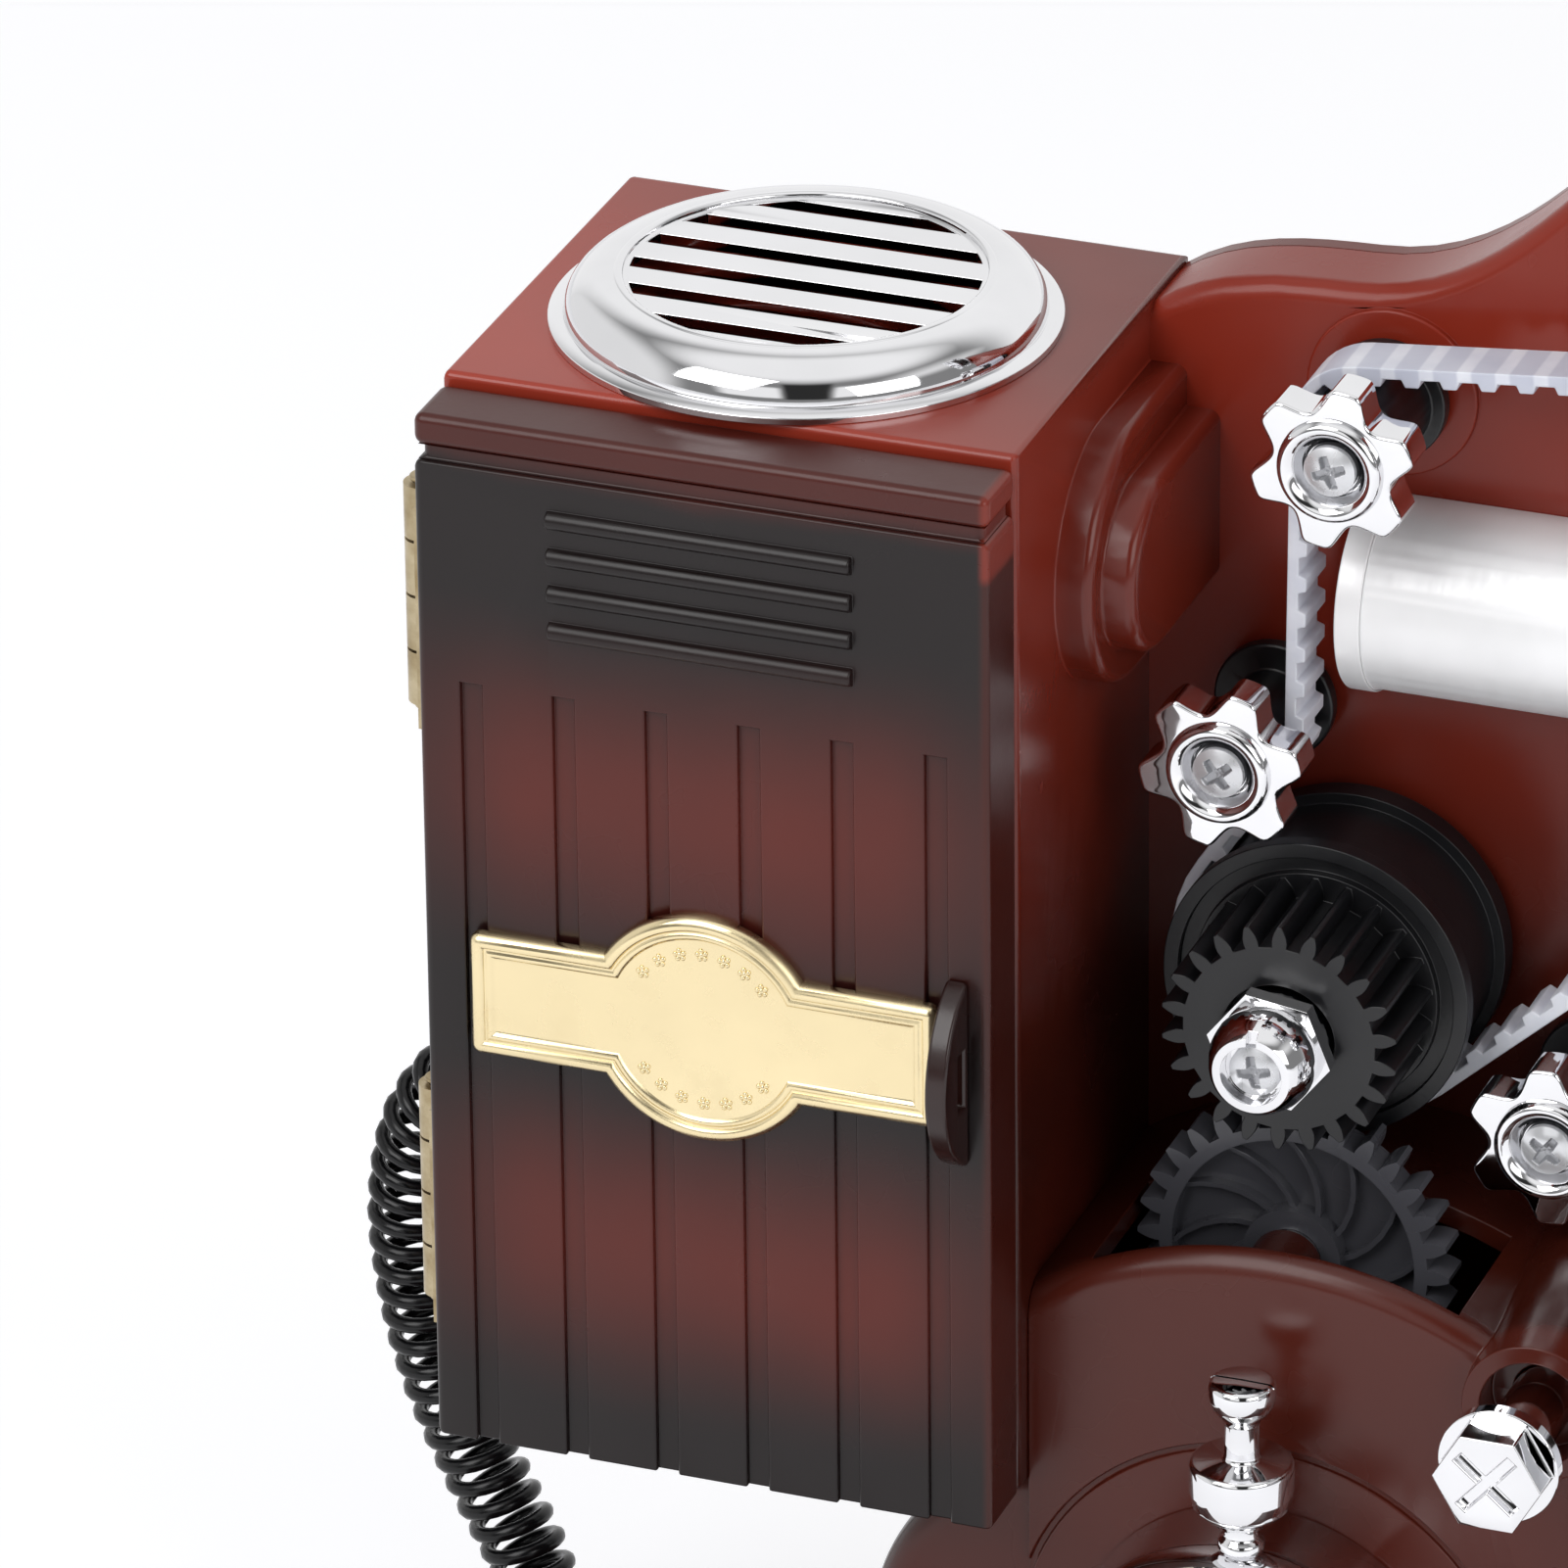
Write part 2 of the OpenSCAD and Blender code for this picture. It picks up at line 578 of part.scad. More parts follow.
// Stand under the lamp house, hollow and open to the base and to the housing.
module lamp_stand() {
    y1 = cover_y + cover_t;
    seat = lamp_z0 - fit;
    form = rim_form(stand_r, stand_y, y1);
    in_r = stand_r - wall;
    top = 180 - asin((seat - wall - stand_p[1]) / in_r);
    color([0.36, 0.1, 0.07]) difference() {
        union() {
            difference() {
                yturn(stand_p, $fn = 72) polygon(form);
                box(-100, 100, stand_y - 1, y1 + 1, 0, stand_p[1]);
            }
            translate([stand_p[0], 0, zb]) linear_extrude(height = stand_p[1] - zb)
                mirror([1, 0]) polygon(form);
        }
        box(-100, 100, stand_y - 1, y1 + 1, seat, lamp_z1);
        box(lamp_x1, 100, stand_y - 1, y1 + 1, 0, lamp_z1);
        yext(stand_y + wall, y1 - wall) polygon(concat([[lamp_x1 + 1, zb - 1], [lamp_x1 + 1, seat - wall]],
            arc_pts(stand_p, in_r, top, 180), [[stand_p[0] - in_r, zb - 1]]));
    }
}

// Lamp house, a box open to the front, with the stepped boss on its right wall.
module stadium(x0, x1, yf, z, r) {
    xcyl(r, x0, x1, yf + r, z);
    box(x0, x1, yf + r, plate_y, z - r, z + r);
}
module lamp_house() {
    boss_z = zb + 150.3;
    color([0.42, 0.11, 0.08]) difference() {
        union() {
            box(lamp_x0, lamp_x1, lamp_y, back_y, lamp_z0, lamp_z1);
            stadium(lamp_x1 - 1, lamp_x1 + 3.8, 0.8, boss_z, 13.1);
            stadium(lamp_x1 - 1, lamp_x1 + 7.2, 3.3, boss_z, 8.8);
        }
        box(lamp_x0 + wall, lamp_x1 - wall, lamp_y - 1, back_y - wall, lamp_z0 + wall, lamp_z1 - wall);
        zcyl(vent_in - 1, lamp_z1 - 5, lamp_z1 + 1, vent_x, vent_y);
        xcyl(gland_r + fit, lamp_x0 - 1, lamp_x0 + 3, cord_y, wall_exit[1]);
    }
}
vent_form = concat([[0, vent_top - 1.3], [vent_in - 1, vent_top - 1.3], [vent_in - 0.4, vent_top - 1.6],
    [vent_r - 3.4, 0], [vent_r, 0], [vent_r, 0.7], [vent_r - 0.9, 1.1]],
    [for (a = [0:10:90]) [vent_r - 6.3 + 4.8 * cos(a), 1.1 + (vent_top - 0.9) * sin(a)]],
    [[vent_in - 0.3, vent_top], [vent_in - 0.7, vent_top - 0.3], [0, vent_top - 0.3]]);
module vent_grille() {
    bar = 5.8;
    slot_w = 2.3;
    color([0.85, 0.86, 0.88]) translate([vent_x, vent_y, lamp_z1]) difference() {
        rotate_extrude($fn = 96) polygon(vent_form);
        intersection() {
            translate([0, 0, vent_top - 3]) cylinder(r = vent_in - 1, h = 5);
            for (i = [0:slots - 1]) {
                translate([-30, (i - (slots - 1) / 2) * bar - slot_w / 2, 0]) cube([60, slot_w, 9]);
            }
        }
    }
}

// Door hinges: knuckles turn by turn on the fixed leaf and on the door's leaf.
hinge_z = [lamp_z1 - 11.7 - hinge_l, lamp_z1 - 76.5 - hinge_l];
knuckles = 4;
knuckle_l = hinge_l / knuckles;
module knuckle(z, i, s) {
    z0 = z + i * knuckle_l + gap / 2;
    difference() {
        union() {
            zcyl(hinge_r, z0, z0 + knuckle_l - gap, hinge_x, lamp_y);
            translate([hinge_x + 1.2, lamp_y + (s > 0 ? gap : -2.2), z0])
                cube([lamp_x0 - hinge_x - 1.2, 2.2 - gap, knuckle_l - gap]);
        }
        zcyl(hinge_pin + run, z - 1, z + hinge_l + 1, hinge_x, lamp_y);
    }
}
module hinge_fixed_leaves() {
    color([0.75, 0.58, 0.28]) for (z = hinge_z) {
        box(lamp_x0 - leaf_t, lamp_x0, lamp_y + 1.8, lamp_y + leaf_w, z, z + hinge_l);
        knuckle(z, 1, 1);
        knuckle(z, 3, 1);
    }
}
module hinge_door_leaves() {
    color([0.75, 0.58, 0.28]) for (z = hinge_z) {
        box(lamp_x0 - leaf_t, lamp_x0, lamp_y - 6.2, lamp_y - 1.8, z, z + hinge_l);
        knuckle(z, 0, -1);
        knuckle(z, 2, -1);
    }
}
module hinge_pins() {
    color([0.62, 0.46, 0.2]) for (z = hinge_z) {
        zcyl(hinge_pin, z - 0.2, z + hinge_l + 0.2, hinge_x, lamp_y);
        zcyl(1.3, z - 0.6, z - 0.15, hinge_x, lamp_y);
        zcyl(1.3, z + hinge_l + 0.15, z + hinge_l + 0.6, hinge_x, lamp_y);
    }
}

// Door: a tray with a cornice, four louvre ridges and six sunk strips.
module door() {
    y1 = lamp_y - gap;
    ridge_r = 0.95;
    color([0.15, 0.08, 0.07]) difference() {
        union() {
            box(lamp_x0, lamp_x1, door_y0, y1, lamp_z0, door_z1);
            for (i = [0:3]) {
                xcyl(ridge_r, plate_x - 15.4, plate_x + 15.4, door_y0, lamp_z1 - 9.9 - 3.88 * i);
            }
        }
        box(lamp_x0 + wall, lamp_x1 - wall, door_y0 + wall, y1 + 1, lamp_z0 + wall, door_z1 - wall);
        for (i = [0:5]) {
            translate([plate_x + (i - 2.5) * 9.43 - strip_w / 2, door_y0 - 1, lamp_z0 - 1])
                cube([strip_w, 1.7, lamp_h - 27.6]);
        }
        box(lamp_x0 - 1, lamp_x1 + 1, door_y0 - 1, door_y0 + 0.7, lamp_z1 - 5.7, lamp_z1 - 4.2);
        box(lamp_x0 - 1, lamp_x0 + 0.7, door_y0 - 1, y1 + 1, lamp_z1 - 5.7, lamp_z1 - 4.2);
        box(lamp_x1 - 0.7, lamp_x1 + 1, door_y0 - 1, y1 + 1, lamp_z1 - 5.7, lamp_z1 - 4.2);
    }
}
module plate_2d(in) {
    translate([plate_x, plate_z]) {
        square([plate_w - 2 * in, 13 - 2 * in], center = true);
        circle(r = disc_r - in, $fn = 72);
    }
}
module name_plate() {
    color([0.9, 0.8, 0.5]) difference() {
        yext(door_y0 - 1.5, door_y0) plate_2d(0);
        yext(door_y0 - 2, door_y0 - 1) plate_2d(1.3);
    }
}
module door_handle() {
    r = 10.9;
    out = 6.5;
    x = plate_x + plate_w / 2 + handle_gap + handle_t / 2;
    z = plate_z - 0.5;
    color([0.16, 0.06, 0.05]) difference() {
        xcyl(r, x - handle_t / 2, x + handle_t / 2, door_y0 - out + r, z);
        box(x - 2, x + 2, door_y0, door_y0 + 30, z - 20, z + 20);
        box(x - 2, x + 2, door_y0 - 2.8, door_y0 - 1, z - 3, z + 3);
    }
}

// Lens barrel against the frame plate, its lip towards the belt.
module lens_half(r, x0, x1) {
    intersection() {
        xcyl(r, x0, x1, lens_y, lens_z);
        box(x0 - 1, x1 + 1, -20, plate_y, lens_z - 20, lens_z + 20);
    }
}
module lens_barrel() {
    color([0.78, 0.79, 0.81]) difference() {
        union() {
            lens_half(lens_r, lens_x0, lens_x0 + 2.6);
            lens_half(lens_r - 0.35, lens_x0 + 2.4, lens_x1);
        }
        xcyl(lens_r - 2.4, lens_x0 + 4, lens_x1 + 1, lens_y, lens_z);
    }
}
module lens_nose() {
    color([0.7, 0.71, 0.73]) difference() {
        union() {
            lens_half(lens_r - 1.6, lens_x1, nose_x1);
            lens_half(lens_r - 0.8, nose_x1 - 1.6, nose_x1);
        }
        xcyl(lens_r - 3, lens_x1 - 1, nose_x1 + 1, lens_y, lens_z);
    }
}
module lens_glass() {
    color([0.6, 0.75, 0.85, 0.5]) lens_half(lens_r - 3.03, nose_x1 - 3.4, nose_x1 - 1.8);
}

// Drum: belt spool and long pinion in one moulding.
module drum_gear() {
    fl_y = 12.5;
    fl_r = 15.5;
    drum_y1 = plate_y - 1.6;
    color([0.1, 0.1, 0.11]) translate([drum_p[0], 0, drum_p[1]]) difference() {
        union() {
            yext(pinion_y, fl_y + 2) polygon(gear_pts(n_drum, drum_ph));
            ycyl(fl_r, fl_y, fl_y + 1.8, [0, 0]);
            ycyl(drum_groove, fl_y + 1, drum_y1 - 0.2, [0, 0]);
            ycyl(fl_r, belt_y + belt_w + gap, drum_y1, [0, 0]);
        }
        yturn([0, 0]) translate([n_drum / 2 + 1.4, fl_y - 1]) square([1.6, 1.9]);
        ycyl(5.4 + gap, pinion_y - 1, pinion_y + 1.6, [0, 0]);
        ycyl(drum_axle + run, pinion_y - 2, plate_y, [0, 0]);
    }
}
nut_seat = pinion_y - 6.5;
module drum_nut() {
    y = pinion_y + 1.2;
    hex_y = pinion_y - 3;
    color([0.85, 0.86, 0.88]) difference() {
        union() {
            ycyl(5.4, hex_y + 1.6, y, drum_p);
            translate([drum_p[0], hex_y, drum_p[1]]) rotate([0, 8, 0]) rotate([-90, 0, 0])
                cylinder(r = 6.3, h = 1.8, $fn = 6);
            yturn(drum_p) translate([0, hex_y]) polygon([[0, 0.1], [4.9, 0.1], [5.15, -0.7], [5.27, -1.5],
                [5.15, -2.6], [4.8, -3.7], [4.4, -4.6], [3.9, -5.2], [0, -5.2]]);
        }
        ycyl(3.1, hex_y - 6, nut_seat, drum_p);
        ycyl(drum_axle + fit, nut_seat + 0.9, y + 1, drum_p);
        ycyl(1, nut_seat - 1, y + 1, drum_p);
        box(drum_p[0] - 0.5, drum_p[0] + 0.5, hex_y - 6, hex_y - 4.4, drum_p[1] + 2.9, drum_p[1] + 5);
    }
}

// Idler gear: toothed rim, sunk web and curved ribs.
function rib_pts(a) = concat(
    [for (i = [0:5]) let (r = 4.6 + i * 1.62) r * [cos(a + 7 * i - 18 / r), sin(a + 7 * i - 18 / r)]],
    [for (i = [5:-1:0]) let (r = 4.6 + i * 1.62) r * [cos(a + 7 * i + 18 / r), sin(a + 7 * i + 18 / r)]]);
module idler_gear() {
    color([0.1, 0.1, 0.11]) translate([idler_p[0], 0, idler_p[1]]) difference() {
        union() {
            difference() {
                yext(gear_y, gear_y1) polygon(gear_pts(n_idler, idler_ph));
                ycyl(12.4, gear_y - 1, gear_y + 1.7, [0, 0]);
            }
            for (i = [0:11]) {
                yext(gear_y + 0.6, gear_y + 2) polygon(rib_pts(i * 30));
            }
            ycyl(5, gear_y - 0.4, gear_y + 2, [0, 0]);
        }
        ycyl(idler_axle + run, gear_y - 2, gear_y1 + 1, [0, 0]);
    }
}

// Chrome stars with a rounded ring and a bowl for the screw; depths count from the star's front face.
bowl_y = 0.7;
ring_form = [[0, eps], [5.3, eps], [5.2, -0.5], [4.95, -0.9], [4.5, -1.1], [0, -1.1]];
bowl_form = [[0, -2], [4.4, -2], [4.3, -1.05], [3.95, -0.9], [3.6, -0.55], [3.3, 0], [2.65, 0.6],
    [2.65, bowl_y], [0, bowl_y]];
module star(p, ph) {
    color([0.85, 0.86, 0.88]) translate([p[0], 0, p[1]]) difference() {
        union() {
            yext(star_y, star_y1) polygon(star_pts(ph));
            yturn([0, 0]) translate([0, star_y]) polygon(ring_form);
        }
        yturn([0, 0]) translate([0, star_y]) polygon(bowl_form);
        ycyl(axle_r + run, star_y - 1, star_y1 + 1, [0, 0]);
        ycyl(hub_in + fit, star_y + 1.9, star_y1 + 1, [0, 0]);
    }
}
module star_1() { star(p1, 20); }
module star_2() { star(p2, 14); }
module star_3() { star(p3, 34); }
module star_4() { star(p4, 8); }
module star_5() { star(p5, 40); }

// Black belt pulleys; the far two carry on through the plate as sleeves for the reel belts.
module pulley(p, r, far) {
    color([0.09, 0.09, 0.1]) translate([p[0], 0, p[1]]) difference() {
        union() {
            ycyl(hub_in, star_y + 2, belt_y - 1, [0, 0]);
            ycyl(min(r, 4.2), star_y1 + eps, belt_y - 0.8, [0, 0]);
            ycyl(r, belt_y - 1.8, pulley_y1 - 1, [0, 0]);
            ycyl(6.1, pulley_y1 - 1.6, pulley_y1, [0, 0]);
            if (far) {
                ycyl(roll_r, pulley_y1 - 0.5, cover_y - 0.5, [0, 0]);
            }
        }
        ycyl(axle_r + run, star_y, cover_y + 1, [0, 0]);
    }
}
module pulley_1() { pulley(p1, in_groove, false); }
module pulley_2() { pulley(p2, groove, false); }
module pulley_3() { pulley(p3, groove, false); }
module pulley_4() { pulley(p4, far_groove, true); }
module pulley_5() { pulley(p5, far_groove, true); }

// Steel axles that stand still: rollers, drum, idler and reels.
module tapped_axle(r, y0, y1, p) {
    difference() {
        ycyl(r, y0, y1, p);
        ycyl(0.9, y0 - 1, y0 + 5, p);
    }
}
module fixed_axles() {
    color([0.66, 0.67, 0.69]) {
        for (p = [p1, p2, p3]) {
            tapped_axle(axle_r, star_y + 1.1, plate_y + axle_sink, p);
        }
        for (p = [p4, p5]) {
            tapped_axle(axle_r, star_y + 1.1, cover_y + 1.3, p);
        }
        tapped_axle(drum_axle, nut_seat + 1, plate_y + axle_sink, drum_p);
        ycyl(idler_axle, gear_y - 1.2, plate_y + axle_sink, idler_p);
        for (p = [reel_p, low_p]) {
            ycyl(reel_axle, reel_y0 - 4, cover_y + 1.3, p);
        }
    }
}
module cross_screw(y, p) {
    difference() {
        union() {
            ycyl(2.55, y, y + 1.2, p);
            ycyl(0.88, y + 1, y + 4.5, p);
        }
        cross_cut(0.7, 3.4, y - 1, y + 0.6, p);
    }
}
module cross_screws() {
    color([0.75, 0.75, 0.77]) {
        for (p = [p1, p2, p3, p4, p5]) {
            cross_screw(star_y - 0.9, p);
        }
        cross_screw(nut_seat - 1.2, drum_p);
    }
}

// Toothed belt, one closed band.
module film_belt() {
    color([0.93, 0.94, 0.96]) difference() {
        yext(belt_y, belt_y + belt_w) polygon(loop_pts(belt_c, belt_r, 0));
        yext(belt_y - 1, belt_y + belt_w + 1) polygon(toothed_pts(belt_c, belt_r, belt_t, belt_tooth));
    }
}
module reel_belt(a, b) {
    color([0.08, 0.08, 0.08]) difference() {
        yext(belt2_y, belt2_y + belt2_w) polygon(loop_pts([a, b], reel_loop, 0));
        yext(belt2_y - 1, belt2_y + belt2_w + 1) polygon(loop_pts([a, b], reel_loop, belt2_t));
    }
}
module upper_reel_belt() { reel_belt(p4, reel_p); }
module lower_reel_belt() { reel_belt(p5, low_p); }

// Reels: two flanges with round windows on one hub.
module reel_flange(r, y) {
    mid = (r + reel_hub) / 2 + 0.6;
    difference() {
        ycyl(r, y, y + flange_t, [0, 0], $fn = 96);
        for (i = [0:4]) {
            ycyl(window_r, y - 1, y + flange_t + 1, mid * [cos(90 + 72 * i), sin(90 + 72 * i)]);
        }
    }
}
module reel(p, r) {
    color([0.8, 0.81, 0.83]) translate([p[0], 0, p[1]]) difference() {
        union() {
            reel_flange(r, reel_y0);
            reel_flange(r, reel_y1 - flange_t);
            ycyl(reel_hub, reel_y0, reel_y1, [0, 0]);
            ycyl(sleeve_r, reel_y1 - 1, cover_y - 0.5, [0, 0]);
        }
        ycyl(reel_axle + run, reel_y0 - 1, cover_y, [0, 0]);
    }
}
module film_roll(p, r) {
    color([0.12, 0.1, 0.1]) difference() {
        ycyl(r, reel_y0 + flange_t + 0.05, reel_y1 - flange_t - 0.05, p);
        ycyl(reel_hub + 0.05, reel_y0, reel_y1, p);
    }
}
module upper_reel() { reel(reel_p, reel_r); }
module upper_film() { film_roll(reel_p, film_r); }
module lower_reel() { reel(low_p, low_reel_r); }
module lower_film() { film_roll(low_p, low_film_r); }
module reel_nuts() {
    color([0.85, 0.86, 0.88]) for (p = [reel_p, low_p]) {
        difference() {
            union() {
                ycyl(4.6, reel_y0 - 1.5, reel_y0 - gap, p);
                translate([p[0], reel_y0 - 4.4, p[1]]) rotate([-90, 0, 0]) cylinder(r = 4, h = 3, $fn = 6);
                ycyl(3.2, reel_y0 - 5.6, reel_y0 - 4, p);
            }
            ycyl(reel_axle + fit, reel_y0 - 4.02, reel_y0 + 1, p);
        }
    }
}

// Crank: shaft through the bearing cap, gear inside, arm, pin and turning grip outside.
module crank_shaft() {
    color([0.66, 0.67, 0.69]) difference() {
        ycyl(shaft_r, arm_y - 2.5, plate_y + 5.5, crank_p);
        box(crank_p[0] + 2.4, crank_p[0] + 5, gear_y - 0.05, gear_y1 + 0.05, crank_p[1] - 4, crank_p[1] + 4);
    }
}
module crank_gear() {
    color([0.8, 0.64, 0.3]) translate([crank_p[0], 0, crank_p[1]]) difference() {
        union() {
            yext(gear_y, gear_y1) polygon(gear_pts(n_crank, crank_ph));
            ycyl(7, gear_y - 3, gear_y1 + 3, [0, 0]);
        }
        ycyl(shaft_r + fit, gear_y - 4, gear_y1 + 4, [0, 0]);
        for (i = [0:4]) {
            ycyl(4.4, gear_y - 1, gear_y1 + 1, 15.5 * [cos(72 * i), sin(72 * i)]);
        }
    }
}
module crank_arm() {
    end_r = 5.6;
    top_r = 7;
    color([0.85, 0.86, 0.88]) translate([crank_p[0], 0, crank_p[1]]) difference() {
        union() {
            yext(arm_y, arm_y + arm_t)
                polygon([[-top_r, 0], [top_r, 0], [end_r, -crank_len], [-end_r, -crank_len]]);
            ycyl(top_r, arm_y, arm_y + arm_t, [0, 0]);
            ycyl(end_r, arm_y, arm_y + arm_t, [0, -crank_len]);
        }
        ycyl(shaft_r + fit, arm_y - 1, arm_y + arm_t + 1, [0, 0]);
        ycyl(pin_r + fit, arm_y - 1, arm_y + arm_t + 1, [0, -crank_len]);
    }
}
module crank_nut() {
    color([0.85, 0.86, 0.88]) difference() {
        union() {
            translate([crank_p[0], arm_y - 3.4, crank_p[1]]) rotate([-90, 0, 0])
                cylinder(r = 5.6, h = 3.4, $fn = 6);
            intersection() {
                translate([crank_p[0], arm_y - 3.4, crank_p[1]]) sphere(r = 4.4);
                ycyl(5, arm_y - 8, arm_y - 1, crank_p);
            }
        }
        ycyl(shaft_r + fit, arm_y - 2.6, arm_y + 1, crank_p);
    }
}
grip_p = [crank_p[0], crank_p[1] - crank_len];
module crank_pin() {
    y0 = grip_y - grip_len;
    color([0.7, 0.71, 0.73]) {
        ycyl(pin_r, y0 - 0.2, arm_y + arm_t + 0.6, grip_p);
        ycyl(3.4, y0 - 1.6, y0 - 0.2, grip_p);
    }
}
module crank_grip() {
    y0 = grip_y - grip_len;
    bore = pin_r + run;
    neck = grip_r - 1.2;
    color([0.12, 0.06, 0.05]) yturn(grip_p) polygon([[bore, y0 + 0.1], [neck, y0 + 0.1],
        [grip_r - 0.3, y0 + 1], [grip_r, y0 + 2.6], [grip_r - 0.3, y0 + 8.4], [neck + 0.1, y0 + grip_len - 5],
        [neck, y0 + grip_len - 1.5], [grip_r - 0.6, y0 + grip_len], [bore, y0 + grip_len]]);
}

// Comb movement inside the housing.
comb_z = cyl_p[1];
comb_x1 = cyl_p[0] - 7.3;
comb_x0 = comb_x1 - 24;
comb_t = 1.2;
comb_teeth = 18;
cyl_y0 = 12.2;
cyl_y1 = 26.2;
cyl_r = 6.4;
comb_y0 = cyl_y0 + 0.4;
comb_pitch = (cyl_y1 - cyl_y0 - 0.8) / comb_teeth;
module movement_bed() {
    color([0.78, 0.62, 0.3]) difference() {
        union() {
            box(comb_x0 - 2, cyl_p[0] + 9, cyl_y0, cyl_y1, zb, zb + 1.6);
            box(comb_x0, comb_x0 + 12, cyl_y0, cyl_y1, zb + 1, comb_z - comb_t);
        }
        ycyl(cyl_r + 2.2, cyl_y0 - 2, cyl_y1 + 2, cyl_p);
    }
}
module movement_comb() {
    color([0.7, 0.71, 0.73]) difference() {
        box(comb_x0, comb_x1, comb_y0, cyl_y1 - 0.4, comb_z - comb_t, comb_z);
        for (i = [1:comb_teeth - 1]) {
            translate([comb_x0 + 12.5, comb_y0 + i * comb_pitch - 0.1, comb_z - 2]) cube([20, 0.2, 4]);
        }
    }
}
module pin_cylinder() {
    color([0.8, 0.64, 0.3]) difference() {
        union() {
            ycyl(cyl_r, cyl_y0, cyl_y1, cyl_p);
            for (i = [0:comb_teeth - 1]) {
                for (j = [0:2]) {
                    translate([cyl_p[0], comb_y0 + (i + 0.5) * comb_pitch, cyl_p[1]])
                        rotate([0, 70 + i * 67 + j * 113 % 240, 0])
                            cylinder(r = 0.25, h = cyl_r + 0.4, $fn = 8);
                }
            }
        }
        ycyl(axle_r + fit, cyl_y0 - 1, cyl_y1 + 1, cyl_p);
    }
}
module cylinder_pinion() {
    color([0.66, 0.67, 0.69]) translate([cyl_p[0], 0, cyl_p[1]]) {
        yext(gear_y, gear_y1) polygon(gear_pts(n_cyl, cyl_ph));
        ycyl(axle_r, gear_y - 4, plate_y + 5, [0, 0]);
        ycyl(4, gear_y1 - 0.1, cyl_y0 - eps, [0, 0]);
    }
}

// Curly cord as one swept tube, and the gland at each end.
module cord() {
    pts = [for (i = [0:wires - 1]) for (q = ring_at(i)) q];
    last = (wires - 1) * side_n;
    skin = [for (i = [0:wires - 2]) for (k = [0:side_n - 1])
        let (a = i * side_n + k, b = i * side_n + (k + 1) % side_n)
        for (f = [[a, b, b + side_n], [a, b + side_n, a + side_n]]) f];
    cap_a = [for (k = [side_n - 1:-1:0]) k];
    cap_b = [for (k = [0:side_n - 1]) last + k];
    color([0.05, 0.05, 0.05]) polyhedron(points = pts, faces = concat(skin, [cap_a, cap_b]), convexity = 10);
}
module cord_gland_lamp() {
    color([0.07, 0.07, 0.07]) {
        xcyl(gland_flange, lamp_x0 - 1, lamp_x0, cord_y, wall_exit[1]);
        xcyl(gland_r, lamp_x0 - 0.5, lamp_x0 + wall - 0.2, cord_y, wall_exit[1]);
    }
}
module cord_gland_base() {
    color([0.07, 0.07, 0.07]) {
        zcyl(gland_flange, zb, zb + 1, base_exit[0], cord_y);
        zcyl(gland_r, zb - 2.5, zb + 0.5, base_exit[0], cord_y);
    }
}

base_plinth();
base_cover();
rubber_feet();
housing_shell();
bearing_cap();
oil_cup();
tie_bolt();
frame_plate();
rear_cover();
case_screws();
lamp_stand();
lamp_house();
vent_grille();
hinge_fixed_leaves();
hinge_pins();
door();
name_plate();
door_handle();
hinge_door_leaves();
lens_barrel();
lens_nose();
lens_glass();
drum_gear();
drum_nut();
idler_gear();
star_1();
star_2();
star_3();
star_4();
star_5();
pulley_1();
pulley_2();
pulley_3();
pulley_4();
pulley_5();
fixed_axles();
cross_screws();
film_belt();
upper_reel_belt();
lower_reel_belt();
upper_reel();
upper_film();
lower_reel();
lower_film();
reel_nuts();
crank_shaft();
crank_gear();
crank_arm();
crank_nut();
crank_pin();
crank_grip();
movement_bed();
movement_comb();
pin_cylinder();
cylinder_pinion();
cord();
cord_gland_lamp();
cord_gland_base();
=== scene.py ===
"""Looks of the projector shaped music box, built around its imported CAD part.

Metres, in the CAD part's own frame.
"""
import json
import math

import bmesh
import bpy
import numpy as np
from mathutils import Matrix, Vector


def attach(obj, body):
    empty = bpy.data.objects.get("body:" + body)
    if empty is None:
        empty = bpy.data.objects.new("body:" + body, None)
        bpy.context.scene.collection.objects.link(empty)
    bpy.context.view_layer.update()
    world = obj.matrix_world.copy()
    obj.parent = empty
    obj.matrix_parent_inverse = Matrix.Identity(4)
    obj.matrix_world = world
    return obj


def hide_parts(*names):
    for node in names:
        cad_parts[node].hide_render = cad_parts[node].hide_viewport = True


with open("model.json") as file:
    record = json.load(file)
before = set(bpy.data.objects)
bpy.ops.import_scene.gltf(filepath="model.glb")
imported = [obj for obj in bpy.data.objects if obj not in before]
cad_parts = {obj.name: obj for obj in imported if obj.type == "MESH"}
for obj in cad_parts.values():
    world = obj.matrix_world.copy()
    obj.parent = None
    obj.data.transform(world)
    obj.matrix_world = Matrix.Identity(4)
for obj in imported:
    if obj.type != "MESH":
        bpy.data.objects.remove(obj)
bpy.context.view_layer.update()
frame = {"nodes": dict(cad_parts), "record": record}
NODES = frame["nodes"]
MM = 0.001

# Places from the part's source, in millimetres.
ZB = 23.1
LAMP_X0, LAMP_X1 = -89.7, -31.8
LAMP_Z0, LAMP_Z1 = 81.6, 192.9
DOOR_Y0 = -17.5
PLATE_Y = 28.3


def srgb(r, g, b):
    """Linear colour of an 8 bit sRGB colour."""
    out = []
    for c in (r, g, b):
        c /= 255.0
        out.append(c / 12.92 if c <= 0.04045 else ((c + 0.055) / 1.055) ** 2.4)
    return (*out, 1.0)


